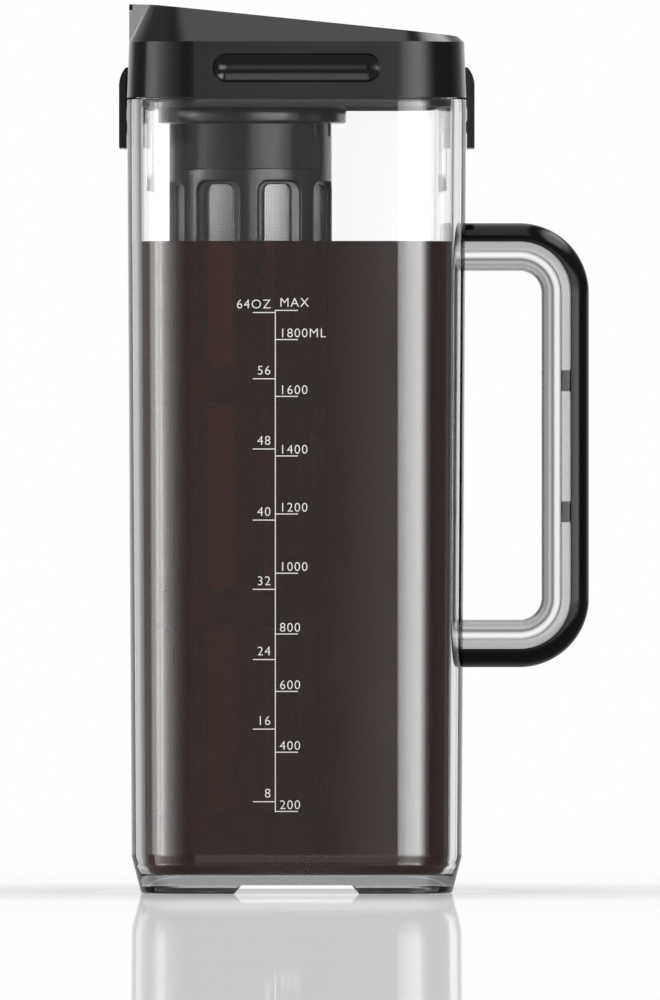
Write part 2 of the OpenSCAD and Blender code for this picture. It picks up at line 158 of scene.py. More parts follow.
def lathe(profile: np.ndarray, centre_x: float, steps: int = 96) -> tuple[np.ndarray, np.ndarray]:
    """Turns a profile about an upright axis: x and y are the radius times cosine and sine.

    Args:
        profile: Rows of radius and height, closed or with both ends on the axis.
        centre_x: Where the axis stands along X.
        steps: Segments round the axis.

    Returns:
        Points and quads.
    """
    angle = np.linspace(0, 2 * np.pi, steps, endpoint=False)
    r, z = profile[:, :1], profile[:, 1:]
    z = np.broadcast_to(z, (len(profile), steps))
    points = np.stack([centre_x + r * np.cos(angle), r * np.sin(angle), z], -1)
    return points.reshape(-1, 3), grid_quads(len(profile), steps)


def add_piece(
    name: str,
    points: np.ndarray,
    faces: Iterable[Sequence[int]],
    sharp: float = 40.0,
    uv: Optional[np.ndarray] = None,
) -> bpy.types.Object:
    """Makes an object from points and faces, with its doubles merged and its faces outwards.

    Args:
        name: The object's name.
        points: Rows of x, y and z in millimetres.
        faces: Point numbers of each face.
        sharp: Angle in degrees past which an edge stays sharp.
        uv: Two texture coordinates for each point.

    Returns:
        The new object, at the origin.
    """
    mesh = bpy.data.meshes.new(name)
    places = (np.asarray(points, float) * MM).tolist()
    mesh.from_pydata(places, [], [list(map(int, face)) for face in faces])
    if uv is not None:
        layer = mesh.uv_layers.new(name=MAP_NAME)
        corner = np.zeros(len(mesh.loops), np.int32)
        mesh.loops.foreach_get("vertex_index", corner)
        layer.data.foreach_set("uv", np.asarray(uv, np.float32)[corner].ravel())
    shape = bmesh.new()
    shape.from_mesh(mesh)
    bmesh.ops.remove_doubles(shape, verts=shape.verts, dist=MERGE_M)
    bmesh.ops.dissolve_degenerate(shape, edges=shape.edges, dist=MERGE_M / 2)
    if shape.calc_volume(signed=True) < 0:
        bmesh.ops.reverse_faces(shape, faces=shape.faces)
    shape.to_mesh(mesh)
    shape.free()
    smooth_shade(mesh, sharp)
    return link_object(name, mesh)


def smooth_shade(mesh: bpy.types.Mesh, sharp: float) -> None:
    """Shades a mesh smooth, but for the edges past an angle in degrees."""
    mesh.polygons.foreach_set("use_smooth", np.ones(len(mesh.polygons), bool))
    mesh.set_sharp_from_angle(angle=math.radians(sharp))


def link_object(name: str, data: Any) -> bpy.types.Object:
    """Makes an object of some data and puts it into the scene.

    Args:
        name: The object's name.
        data: Its mesh, curve or camera.

    Returns:
        The object.
    """
    piece = bpy.data.objects.new(name, data)
    bpy.context.scene.collection.objects.link(piece)
    return piece


def refined_copy(node: str, name: str, width: float, segments: int = 3) -> bpy.types.Object:
    """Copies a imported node, merges its triangles into faces and rounds its sharp edges.

    Args:
        node: The node that the copy stands for.
        name: The new object's name.
        width: Size of the rounding in millimetres.
        segments: Segments across the rounding.

    Returns:
        The new object.
    """
    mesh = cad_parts[node].data.copy()
    mesh.name = name
    mesh.materials.clear()
    shape = bmesh.new()
    shape.from_mesh(mesh)
    bmesh.ops.remove_doubles(shape, verts=shape.verts, dist=COPY_MERGE_M)
    bmesh.ops.dissolve_limit(
        shape,
        angle_limit=math.radians(0.4),
        verts=shape.verts,
        edges=shape.edges,
        use_dissolve_boundaries=False,
    )
    shape.to_mesh(mesh)
    shape.free()
    smooth_shade(mesh, EDGE_DEG)
    piece = link_object(name, mesh)
    bevel = piece.modifiers.new("edge_rounding", "BEVEL")
    bevel.width, bevel.segments = width * MM, segments
    bevel.limit_method, bevel.angle_limit = "ANGLE", math.radians(EDGE_DEG)
    bevel.use_clamp_overlap, bevel.harden_normals = True, True
    bevel.miter_outer = "MITER_ARC"
    normals = piece.modifiers.new("even_faces", "WEIGHTED_NORMAL")
    normals.keep_sharp, normals.weight = True, 80
    return piece


def dress(
    piece: bpy.types.Object,
    material: bpy.types.Material,
    body: Body,
    stands_for: Optional[str] = None,
) -> bpy.types.Object:
    """Gives a piece its finish, the body that it rides on and the node that it stands for.

    Args:
        piece: The object.
        material: Its finish.
        body: The body that it moves with.
        stands_for: The node that it replaces, or none.

    Returns:
        The same object.
    """
    piece.data.materials.clear()
    piece.data.materials.append(material)
    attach(piece, body.value)
    if stands_for is not None:
        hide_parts(stands_for)
    LOG.info("piece %s on %s, %d faces", piece.name, body.value, len(piece.data.polygons))
    return piece


def repaint(node: str, material: bpy.types.Material) -> None:
    """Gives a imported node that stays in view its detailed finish.

    Args:
        node: The node's name.
        material: The finish.
    """
    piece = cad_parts[node]
    piece.data.materials.clear()
    piece.data.materials.append(material)
    piece.data.polygons.foreach_set("material_index", np.zeros(len(piece.data.polygons), np.int32))
    LOG.info("node %s keeps its shape", node)


# ---------------------------------------------------------------- node graphs


class Graph:
    """Adds nodes to one node tree and links them."""

    def __init__(self, tree: bpy.types.NodeTree) -> None:
        """Starts on a tree, emptied first."""
        self.tree = tree
        tree.nodes.clear()

    def add(
        self, kind: str, inputs: Optional[dict[Any, Any]] = None, **settings: Any
    ) -> bpy.types.Node:
        """Adds a node.

        Args:
            kind: The node's type, without the ShaderNode in front.
            inputs: Values or sockets to link, by input name or number.
            settings: The node's own attributes.

        Returns:
            The node.
        """
        node = self.tree.nodes.new(kind if kind.startswith("Node") else "ShaderNode" + kind)
        for key, value in settings.items():
            setattr(node, key, value)
        return self.fill(node, inputs or {})

    def fill(self, node: bpy.types.Node, inputs: dict[Any, Any]) -> bpy.types.Node:
        """Sets or links a node's inputs.

        Args:
            node: The node.
            inputs: Values or sockets to link, by input name or number.

        Returns:
            The same node.
        """
        for key, value in inputs.items():
            if isinstance(value, bpy.types.NodeSocket):
                self.tree.links.new(value, node.inputs[key])
            else:
                node.inputs[key].default_value = value
        return node

    def group(self, tree: bpy.types.NodeTree, inputs: dict[str, Any]) -> bpy.types.Node:
        """Places a shared group.

        Args:
            tree: The group.
            inputs: Values or sockets by name.

        Returns:
            The group's node.
        """
        return self.add("Group", inputs, node_tree=tree)

    def math(self, operation: str, *values: Any) -> bpy.types.NodeSocket:
        """Adds a Math node.

        Args:
            operation: The operation.
            values: Numbers or sockets.

        Returns:
            Its output.
        """
        return self.add("Math", dict(enumerate(values)), operation=operation).outputs[0]

    def map(
        self,
        value: Any,
        low: float,
        high: float,
        to_low: float,
        to_high: float,
        smooth: bool = True,
    ) -> bpy.types.NodeSocket:
        """Maps a value from one range to another.

        Args:
            value: The socket to map.
            low: Start of its range.
            high: End of its range.
            to_low: What the start becomes.
            to_high: What the end becomes.
            smooth: Whether the change eases in and out.

        Returns:
            The mapped socket.
        """
        ends = {"From Min": low, "From Max": high, "To Min": to_low, "To Max": to_high}
        kind = "SMOOTHSTEP" if smooth else "LINEAR"
        return self.add("MapRange", {"Value": value, **ends}, interpolation_type=kind).outputs[0]

    def window(self, value: Any, rise: tuple[float, float], fall: tuple[float, float]) -> Any:
        """Rises from 0 to 1 over one range and falls back over another: their product.

        Args:
            value: The socket to map.
            rise: Where the rise starts and ends.
            fall: Where the fall starts and ends.

        Returns:
            The mapped socket.
        """
        up, down = self.map(value, *rise, 0.0, 1.0), self.map(value, *fall, 1.0, 0.0)
        return self.math("MULTIPLY", up, down)

    def mix(self, factor: Any, first: Any, second: Any) -> bpy.types.NodeSocket:
        """Mixes two colours.

        Args:
            factor: Share of the second.
            first: A colour of three values, or a socket.
            second: A colour of three values, or a socket.

        Returns:
            The mixed colour.
        """
        first, second = ((*s, 1.0) if isinstance(s, tuple) else s for s in (first, second))
        return self.add("Mix", {0: factor, 6: first, 7: second}, data_type="RGBA").outputs[2]

    def blend(self, factor: Any, first: Any, second: Any) -> bpy.types.NodeSocket:
        """Mixes two values.

        Args:
            factor: Share of the second.
            first: A value or socket.
            second: A value or socket.

        Returns:
            The mixed value.
        """
        return self.add("Mix", {0: factor, 2: first, 3: second}).outputs[0]

    def ramp(self, factor: Any, stops: Iterable[tuple[float, Color]]) -> bpy.types.NodeSocket:
        """Adds a colour ramp with straight steps between its stops.

        Args:
            factor: Place along the ramp, from 0 to 1.
            stops: Place and colour of each stop.

        Returns:
            The colour.
        """
        node = self.add("ValToRGB", {"Fac": factor})
        elements = node.color_ramp.elements
        elements.remove(elements[-1])
        for number, (spot, color) in enumerate(stops):
            stop = elements[0] if number == 0 else elements.new(spot)
            stop.position, stop.color = spot, (*color, 1.0)
        return node.outputs["Color"]

    def relief(self, height: Any, strength: float, depth_mm: float) -> bpy.types.NodeSocket:
        """Adds a bump.

        Args:
            height: The height's socket, from 0 to 1.
            strength: How much of the bump is shown.
            depth_mm: What a height of 1 stands for.

        Returns:
            The bent normal.
        """
        inputs = {"Height": height, "Strength": strength, "Distance": depth_mm * MM}
        return self.add("Bump", inputs).outputs[0]

    def surface(self, end: bpy.types.Node, inputs: dict[str, Any]) -> None:
        """Adds the Principled shader with its inputs and links it to the material's output."""
        self.fill(end, {"Surface": self.add("BsdfPrincipled", inputs).outputs[0]})

    def absorb(self, end: bpy.types.Node, color: Color, density: float) -> None:
        """Darkens the inside of the material's object along the light's path."""
        inside = self.add("VolumeAbsorption", {"Color": (*color, 1.0), "Density": density})
        self.fill(end, {"Volume": inside.outputs[0]})


def new_group(
    name: str, inputs: dict[str, tuple[str, Any]], outputs: dict[str, str]
) -> tuple[bpy.types.NodeTree, Graph, bpy.types.Node, bpy.types.Node]:
    """Starts a shared node group.

    Args:
        name: The group's name.
        inputs: Socket type and starting value by name.
        outputs: Socket type by name.

    Returns:
        The tree, a graph on it, and its input and output nodes.
    """
    tree = bpy.data.node_groups.new(name, "ShaderNodeTree")
    for key, (kind, value) in inputs.items():
        socket = tree.interface.new_socket(name=key, in_out="INPUT", socket_type=kind)
        if value is not None:
            socket.default_value = value
    for key, kind in outputs.items():
        tree.interface.new_socket(name=key, in_out="OUTPUT", socket_type=kind)
    graph = Graph(tree)
    return tree, graph, graph.add("NodeGroupInput"), graph.add("NodeGroupOutput")


class SharedEffects:
    """Node groups that several finishes use."""

    def __init__(self) -> None:
        """Builds each group once."""
        self.grain = self._grain()
        self.handling = self._handling()
        self.weave = self._weave()
        self.beads = self._beads()

    def _grain(self) -> bpy.types.NodeTree:
        """Fine texture of a moulded surface: two sizes of noise added as a height.

        Returns:
            The group.
        """
        tree, g, start, end = new_group(
            "mould_grain",
            {"Position": ("NodeSocketVector", None), "Size": ("NodeSocketFloat", 0.3)},
            {"Height": "NodeSocketFloat", "Fleck": "NodeSocketFloat"},
        )
        place = start.outputs["Position"]
        scale = g.math("DIVIDE", 1.0, g.math("MULTIPLY", start.outputs["Size"], MM))
        fine = g.add("TexNoise", {"Vector": place, "Scale": scale, "Detail": 2.0}).outputs[0]
        coarse = g.math("MULTIPLY", scale, 0.21)
        broad = g.add("TexNoise", {"Vector": place, "Scale": coarse, "Detail": 1.0}).outputs[0]
        height = g.math("ADD", fine, g.math("MULTIPLY", broad, 0.6))
        g.fill(end, {"Height": height, "Fleck": g.map(fine, 0.42, 0.62, 0.0, 1.0)})
        return tree

    def _handling(self) -> bpy.types.NodeTree:
        """Wipe marks of use: broad stretched noise that moves roughness between two values.

        Returns:
            The group.
        """
        tree, g, start, end = new_group(
            "handling_marks",
            {
                "Position": ("NodeSocketVector", None),
                "Smooth": ("NodeSocketFloat", 0.2),
                "Dull": ("NodeSocketFloat", 0.4),
            },
            {"Roughness": "NodeSocketFloat", "Mask": "NodeSocketFloat"},
        )
        place, smooth, dull = start.outputs[0], start.outputs["Smooth"], start.outputs["Dull"]
        stretch = {"Vector": place, "Rotation": (0.0, 0.35, 0.0), "Scale": (1.0, 1.0, 0.45)}
        stretched = g.add("Mapping", stretch).outputs[0]
        wipes = {"Vector": stretched, "Scale": 38.0, "Detail": 3.0, "Distortion": 0.6}
        mask = g.map(g.add("TexNoise", wipes).outputs[0], 0.35, 0.68, 0.0, 1.0)
        rough = g.math("MULTIPLY_ADD", mask, g.math("SUBTRACT", dull, smooth), smooth)
        g.fill(end, {"Roughness": rough, "Mask": mask})
        return tree

    def _weave(self) -> bpy.types.NodeTree:
        """Woven wire: two sets of rounded wires that pass over and under each other.

        The height of each set is the absolute sine across it, lifted or lowered by the product of
        the cosines both ways, and the higher set is the one that shows.

        Returns:
            The group.
        """
        tree, g, start, end = new_group(
            "woven_wire",
            {"Place": ("NodeSocketVector", None), "Pitch": ("NodeSocketFloat", 0.6)},
            {"Height": "NodeSocketFloat", "Wire": "NodeSocketFloat"},
        )
        parts = g.add("SeparateXYZ", {0: start.outputs["Place"]})
        step = g.math("DIVIDE", math.pi, g.math("MULTIPLY", start.outputs["Pitch"], MM))
        u = g.math("MULTIPLY", parts.outputs[0], step)
        v = g.math("MULTIPLY", parts.outputs[1], step)
        over = g.math("MULTIPLY", g.math("COSINE", u), g.math("COSINE", v))
        lift = g.math("MULTIPLY", over, 0.35)
        warp = g.math("ADD", g.math("ABSOLUTE", g.math("SINE", u)), lift)
        weft = g.math("SUBTRACT", g.math("ABSOLUTE", g.math("SINE", v)), lift)
        height = g.math("MAXIMUM", warp, weft)
        g.fill(end, {"Height": height, "Wire": g.map(height, 0.55, 0.9, 0.0, 1.0)})
        return tree

    def _beads(self) -> bpy.types.NodeTree:
        """Condensed beads: round cells, shifted by a noise and kept where a broad noise is high.

        Returns:
            The group.
        """
        tree, g, start, end = new_group(
            "condensed_beads",
            {"Position": ("NodeSocketVector", None), "Cover": ("NodeSocketFloat", 0.5)},
            {"Height": "NodeSocketFloat", "Mask": "NodeSocketFloat"},
        )
        place = start.outputs["Position"]
        noise = g.add("TexNoise", {"Vector": place, "Scale": 300.0, "Detail": 1.0})
        shift = g.add("VectorMath", {0: noise.outputs["Color"], 3: 0.0022}, operation="SCALE")
        moved = g.add("VectorMath", {0: place, 1: shift.outputs[0]}, operation="ADD")
        tall = g.add("Mapping", {"Vector": moved.outputs[0], "Scale": (1.0, 1.0, 0.6)})
        cells = g.add("TexVoronoi", {"Vector": tall.outputs[0], "Scale": 520.0})
        drop = g.map(cells.outputs["Distance"], 0.0, 0.34, 1.0, 0.0)
        streaked = g.add("Mapping", {"Vector": place, "Scale": (1.0, 1.0, 0.22)})
        patch = g.add("TexNoise", {"Vector": streaked.outputs[0], "Scale": 46.0, "Detail": 2.0})
        limit = g.math("SUBTRACT", 0.78, g.math("MULTIPLY", start.outputs["Cover"], 0.35))
        keep = g.math("MULTIPLY", g.math("SUBTRACT", patch.outputs[0], limit), 14.0)
        keep = g.math("MINIMUM", g.math("MAXIMUM", keep, 0.0), 1.0)
        g.fill(end, {"Height": g.math("MULTIPLY", drop, keep), "Mask": keep})
        return tree


def start_material(
    name: str,
) -> tuple[bpy.types.Material, Graph, bpy.types.Node, bpy.types.NodeSocket]:
    """Starts a material.

    Args:
        name: The material's name.

    Returns:
        The material, a graph on it, its output node and the object position socket.
    """
    material = bpy.data.materials.new(name)
    material.use_nodes = True
    graph = Graph(material.node_tree)
    place = graph.add("TexCoord").outputs["Object"]
    return material, graph, graph.add("OutputMaterial"), place


# ---------------------------------------------------------------- finishes


@dataclass(frozen=True)
class MouldedPlastic:
    """An opaque injection-moulded plastic with fine grain and wipe marks."""

    name: str
    color: Color
    worn: Color
    smooth: float
    dull: float
    grain_mm: float
    bump: float
    shine: float = 0.5
    relief_mm: float = 0.02

    def build(self, effects: SharedEffects) -> bpy.types.Material:
        """Makes the material.

        Args:
            effects: The shared node groups.

        Returns:
            The material.
        """
        material, g, end, place = start_material(self.name)
        grain = g.group(effects.grain, {"Position": place, "Size": self.grain_mm})
        wipes = {"Position": place, "Smooth": self.smooth, "Dull": self.dull}
        marks = g.group(effects.handling, wipes)
        wiped = g.math("MULTIPLY", marks.outputs["Mask"], 0.5)
        wear = g.math("MULTIPLY_ADD", grain.outputs["Fleck"], 0.35, wiped)
        inputs = {
            "Base Color": g.mix(wear, self.color, self.worn),
            "Roughness": marks.outputs["Roughness"],
            "IOR": 1.5,
            "Specular IOR Level": self.shine,
            "Normal": g.relief(grain.outputs["Height"], self.bump, self.relief_mm),
        }
        g.surface(end, inputs)
        return material


@dataclass(frozen=True)
class ClearPlastic:
    """A clear moulded plastic whose long light paths turn grey.

    Its tone follows a distance in millimetres, in stops of distance and share of the tint. In the
    channel the stops are painted light and shade.
    """

    name: str
    tint: Color
    absorbed: Color
    density: float
    along: bool
    tones: Stops
    ior: float = 1.5
    dull: float = 0.008

    def build(self, effects: SharedEffects) -> bpy.types.Material:
        """Makes the material.

        The tone follows height in the body, so that the foot, seen through its whole width, differs
        from the walls. In the channel it follows the texture map's radius, from the finger side, in
        bands of painted light and shade.

        Args:
            effects: The shared node groups.

        Returns:
            The material.
        """
        material, g, end, place = start_material(self.name)
        marks = g.group(effects.handling, {"Position": place, "Smooth": 0.0, "Dull": self.dull})
        where = g.add("UVMap", uv_map=MAP_NAME).outputs[0] if self.along else place
        part = g.add("SeparateXYZ", {0: where}).outputs[0 if self.along else 2]
        first, last = self.tones[0][0] * MM, self.tones[-1][0] * MM
        share = g.map(part, first, last, 0.0, 1.0, smooth=False)
        stops = [
            ((spot * MM - first) / (last - first), tuple(level * c for c in self.tint))
            for spot, level in self.tones
        ]
        ripple = g.add("TexNoise", {"Vector": place, "Scale": 22.0, "Detail": 1.0})
        inputs = {
            "Base Color": g.ramp(share, stops),
            "Roughness": marks.outputs["Roughness"],
            "IOR": self.ior,
            "Transmission Weight": 1.0,
            "Normal": g.relief(ripple.outputs[0], 0.03, 0.3),
        }
        g.surface(end, inputs)
        g.absorb(end, self.absorbed, self.density)
        return material


@dataclass(frozen=True)
class Brew:
    """Cold coffee: a dark clear liquid with a little suspended brown.

    The base colour holds painted light: paler on the spout's side, as light through the thin liquid
    in front of the wall, and warmer in front of the filter's windows, where the bright mesh behind
    shows through. Places along the axes are in metres.
    """

    name: str
    tint: Color
    deep: Color
    # painted light colour: the paler brew on the spout's side
    thin_light: Color
    # painted light colour in front of the filter's windows
    lit: Color
    absorbed: Color
    density: float
    ior: float = 1.34
    clear_share: float = 0.9
    thin_light_x: tuple[float, float] = (-0.047, -0.037)
    # where the painted window light lies, in metres
    column_x: tuple[tuple[float, float], ...] = ((-0.0302, -0.0288), (-0.0212, -0.0198))
    faint_column_x: tuple[tuple[float, float], ...] = ((-0.0122, -0.0108), (-0.0085, -0.006))
    faint_share: float = 0.45
    row_z: tuple[float, ...] = (0.0574, 0.1306, 0.2038)
    row_reach: tuple[float, float] = (0.029, 0.032)
    fade_z: tuple[float, float] = (0.03, 0.21)
    front_y: tuple[float, float] = (-0.045, -0.04)

    def _painted_window_light(self, g: Graph, place: Any) -> Any:
        """Painted light on the front of the brew, where the bright mesh shows through the cage's
        windows.

        Each column and each row is a step up times a step down, and the painted light weakens
        downwards.

        Args:
            g: The graph.
            place: The object position socket.

        Returns:
            The mask's socket.
        """
        x, y, z = g.add("SeparateXYZ", {0: place}).outputs
        faint = g.math("MULTIPLY", g.window(x, *self.faint_column_x), self.faint_share)
        share = g.math("MAXIMUM", g.window(x, *self.column_x), faint)
        rows = 0.0
        for middle in self.row_z:
            off = g.math("ABSOLUTE", g.math("SUBTRACT", z, middle))
            rows = g.math("MAXIMUM", rows, g.map(off, *self.row_reach, 1.0, 0.0))
        fade = g.map(z, *self.fade_z, 0.3, 1.0, smooth=False)
        for mask in (rows, fade, g.map(y, *self.front_y, 1.0, 0.0)):
            share = g.math("MULTIPLY", share, mask)
        return share

    def build(self, effects: SharedEffects) -> bpy.types.Material:
        """Makes the material.

        Args:
            effects: The shared node groups.

        Returns:
            The material.
        """
        material, g, end, place = start_material(self.name)
        beads = g.group(effects.beads, {"Position": place, "Cover": 0.4})
        cloud = g.add("TexNoise", {"Vector": place, "Scale": 30.0, "Detail": 3.0})
        tone = g.mix(g.map(cloud.outputs[0], 0.35, 0.7, 0.0, 1.0), self.tint, self.deep)
        # painted light: paler on the spout's side, as if light passed the thin liquid there
        thin_light_share = g.map(g.add("SeparateXYZ", {0: place}).outputs[0], *self.thin_light_x, 1.0, 0.0)
        uneven = g.map(cloud.outputs[0], 0.3, 0.7, 1.0, 0.7)
        tone = g.mix(g.math("MULTIPLY", thin_light_share, uneven), tone, self.thin_light)
        inputs = {
            # painted light: a warmer colour in front of the filter's windows
            "Base Color": g.mix(self._painted_window_light(g, place), tone, self.lit),
            "Roughness": g.map(beads.outputs["Mask"], 0.0, 1.0, 0.0, 0.02),
            "IOR": self.ior,
            "Transmission Weight": self.clear_share,
            "Normal": g.relief(beads.outputs["Height"], 0.12, 0.1),
        }
        g.surface(end, inputs)
        g.absorb(end, self.absorbed, self.density)
        return material


@dataclass(frozen=True)
class WovenSteel:
    """Fine woven stainless steel wire."""

    name: str
    wire: Color
    hole: Color
    pitch_mm: float

    def build(self, effects: SharedEffects) -> bpy.types.Material:
        """Makes the material.

        Args:
            effects: The shared node groups.

        Returns:
            The material.
        """
        material, g, end, _ = start_material(self.name)
        place = g.add("UVMap", uv_map=MAP_NAME).outputs[0]
        weave = g.group(effects.weave, {"Place": place, "Pitch": self.pitch_mm})
        wire = weave.outputs["Wire"]
        inputs = {
            "Base Color": g.mix(wire, self.hole, self.wire),
            "Metallic": g.map(wire, 0.0, 1.0, 0.1, 0.85),
            "Roughness": g.map(wire, 0.0, 1.0, 0.6, 0.36),
            "Normal": g.relief(weave.outputs["Height"], 0.7, 0.12),
        }
        g.surface(end, inputs)
        return material


@dataclass(frozen=True)
class TurnedSteel:
    """A drawn steel pin with fine lines along its length."""

    name: str
    color: Color

    def build(self, effects: SharedEffects) -> bpy.types.Material:
        """Makes the material.

        Args:
            effects: The shared node groups.

        Returns:
            The material.
        """
        material, g, end, place = start_material(self.name)
        lines = g.add("Mapping", {"Vector": place, "Scale": (1.0, 0.04, 1.0)})
        noise = g.add("TexNoise", {"Vector": lines.outputs[0], "Scale": 9000.0, "Detail": 2.0})
        marks = g.group(effects.handling, {"Position": place, "Smooth": 0.22, "Dull": 0.38})
        dark = tuple(c * 0.8 for c in self.color)
        inputs = {
            "Base Color": g.mix(noise.outputs[0], self.color, dark),
            "Metallic": 1.0,
            "Roughness": marks.outputs["Roughness"],
            "Normal": g.relief(noise.outputs[0], 0.25, 0.01),
        }
        g.surface(end, inputs)
        return material


@dataclass(frozen=True)
class PrintedInk:
    """White screen-printed ink, slightly thin in places."""

    name: str
    color: Color

    def build(self, effects: SharedEffects) -> bpy.types.Material:
        """Makes the material.

        Args:
            effects: The shared node groups.

        Returns:
            The material.
        """
        material, g, end, place = start_material(self.name)
        grain = g.group(effects.grain, {"Position": place, "Size": 0.5})
        dull = tuple(c * 0.9 for c in self.color)
        inputs = {
            "Base Color": g.mix(grain.outputs["Fleck"], self.color, dull),
            "Roughness": 0.55,
            "Normal": g.relief(grain.outputs["Height"], 0.2, 0.01),
        }
        g.surface(end, inputs)
        return material


def grey(level: float) -> Color:
    """A neutral colour."""
    return (level, level, level)


@dataclass
class Finishes:
    """Every finish of the object."""

    effects: SharedEffects = field(default_factory=SharedEffects)
    foot_tones: Stops = ((0.0, 1.0), (2.8, 1.0), (3.0, 0.45), (6.5, 0.45), (6.8, 1.0), (12.0, 1.0))
    # painted light and shade: the channel's bright and dark bands, by distance from the finger side
    channel_painted_light_tones: Stops = (
        (7.2, 0.45), (7.9, 0.45), (8.6, 0.19), (9.7, 0.26), (10.3, 0.22), (10.8, 0.06),
        (11.2, 0.06), (11.6, 0.45), (12.0, 0.84), (12.8, 1.0), (13.2, 0.8), (13.5, 0.5),
        (13.9, 0.68), (16.0, 0.64), (16.4, 0.72), (16.7, 0.9),
    )

    def __post_init__(self) -> None:
        """Builds the materials."""
        e = self.effects
        self.clear = ClearPlastic(
            "clear_body", tint=(0.985, 0.99, 0.99), absorbed=(0.35, 0.38, 0.4), density=7.0,
            along=False, tones=self.foot_tones,
        ).build(e)
        self.clear_handle = ClearPlastic(
            "clear_channel", tint=(0.99, 0.985, 0.985), absorbed=(0.2, 0.19, 0.19), density=6.0,
            along=True, tones=self.channel_painted_light_tones,
        ).build(e)
        self.lid = MouldedPlastic(
            "satin_black", grey(0.006), grey(0.0078), smooth=0.15, dull=0.19,
            grain_mm=0.22, bump=0.1,
        ).build(e)
        self.latch = MouldedPlastic(
            "satin_latch", grey(0.006), grey(0.0078), smooth=0.15, dull=0.2,
            grain_mm=0.22, bump=0.1, shine=0.25,
        ).build(e)
        self.plug = MouldedPlastic(
            "plug_charcoal", grey(0.026), grey(0.034), smooth=0.35, dull=0.45,
            grain_mm=0.3, bump=0.2,
        ).build(e)
        self.grip = MouldedPlastic(
            "gloss_black", grey(0.003), grey(0.0042), smooth=0.07, dull=0.12,
            grain_mm=0.4, bump=0.05, shine=0.22,
        ).build(e)
        self.collar = MouldedPlastic(
            "filter_charcoal", grey(0.031), grey(0.039), smooth=0.13, dull=0.18,
            grain_mm=0.25, bump=0.12, shine=0.56,
        ).build(e)
        self.seal = MouldedPlastic(
            "soft_seal", (0.1, 0.1, 0.105), (0.13, 0.13, 0.135), smooth=0.5, dull=0.62,
            grain_mm=0.35, bump=0.3,
        ).build(e)
        self.mesh = WovenSteel(
            "woven_steel", wire=(0.66, 0.66, 0.65), hole=(0.17, 0.17, 0.165), pitch_mm=0.6
        ).build(e)
        self.pin = TurnedSteel("drawn_steel", (0.62, 0.62, 0.6)).build(e)
        self.ink = PrintedInk("white_ink", (0.86, 0.84, 0.82)).build(e)
        # the brew's pale colour on the spout's side and its warm colour at the windows are painted
        # light
        self.brew = Brew(
            "cold_coffee", tint=(0.36, 0.13, 0.065), deep=(0.31, 0.105, 0.052),
            thin_light=(0.8, 0.33, 0.24), lit=(0.6, 0.2, 0.09), absorbed=(0.6, 0.05, 0.0), density=115.0,
        ).build(e)


# ---------------------------------------------------------------- pitcher


@dataclass
class SquarePlan:
    """The plan that the body, the neck and the liquid share.

    A point of the outline is its place on the inner square of corner centres plus its outward
    direction times what is left of the corner radius after the inset.
    """

    half: float = 56.0
    radius: float = 22.5
    corner_steps: int = 20
    # where the points of a flat side stand, so that ribs, notch and pockets end on a point
    marks: tuple[float, ...] = (
        0.0, 9.0, 13.9, 14.2, 18.05, 18.35, 19.7, 20.0, 20.45, 20.75, 27.0, 33.2,
    )

    def __post_init__(self) -> None:
        """Lays the points out once, anticlockwise from the lower end of the +X side."""
        flat = self.half - self.radius
        marks = np.array(self.marks)
        side = np.concatenate([-marks[:0:-1], marks])
        along = np.concatenate([[-flat], side, [flat]])
        base = [np.stack([np.full_like(along, flat), along], -1)]
        out = [np.tile([1.0, 0.0], (len(along), 1))]
        angle = np.radians(np.linspace(0, 90, self.corner_steps + 1)[1:-1])
        base.append(np.full((len(angle), 2), flat))
        out.append(np.stack([np.cos(angle), np.sin(angle)], -1))
        quarter_base, quarter_out = np.concatenate(base), np.concatenate(out)
        quarter_turn = np.array([[0.0, -1.0], [1.0, 0.0]])
        turns = [np.linalg.matrix_power(quarter_turn, k) for k in range(4)]
        self.base = np.concatenate([quarter_base @ t.T for t in turns])
        self.out = np.concatenate([quarter_out @ t.T for t in turns])
        self.flat = flat

    def ring(self, inset: np.ndarray, height: np.ndarray) -> np.ndarray:
        """Points of the outline at each row.

        Past the corner radius, the inner square shrinks towards its centre instead.

        Args:
            inset: Distance in from the shoulder's outline, one or a row of values for each row.
            height: Height, likewise.

        Returns:
            Rows by points by three coordinates.
        """
        left = self.radius - np.asarray(inset, float)
        height = np.asarray(height, float)
        left = left[:, None] if left.ndim == 1 else left
        height = height[:, None] if height.ndim == 1 else height
        shape = np.broadcast_shapes(left.shape, height.shape, (1, len(self.base)))
        left, height = np.broadcast_to(left, shape), np.broadcast_to(height, shape)
        share = np.clip(1 + np.minimum(left, 0) / self.flat, 0, 1)[..., None]
        xy = self.base * share + self.out * np.maximum(left, 0)[..., None]
        return np.concatenate([xy, height[..., None]], -1)


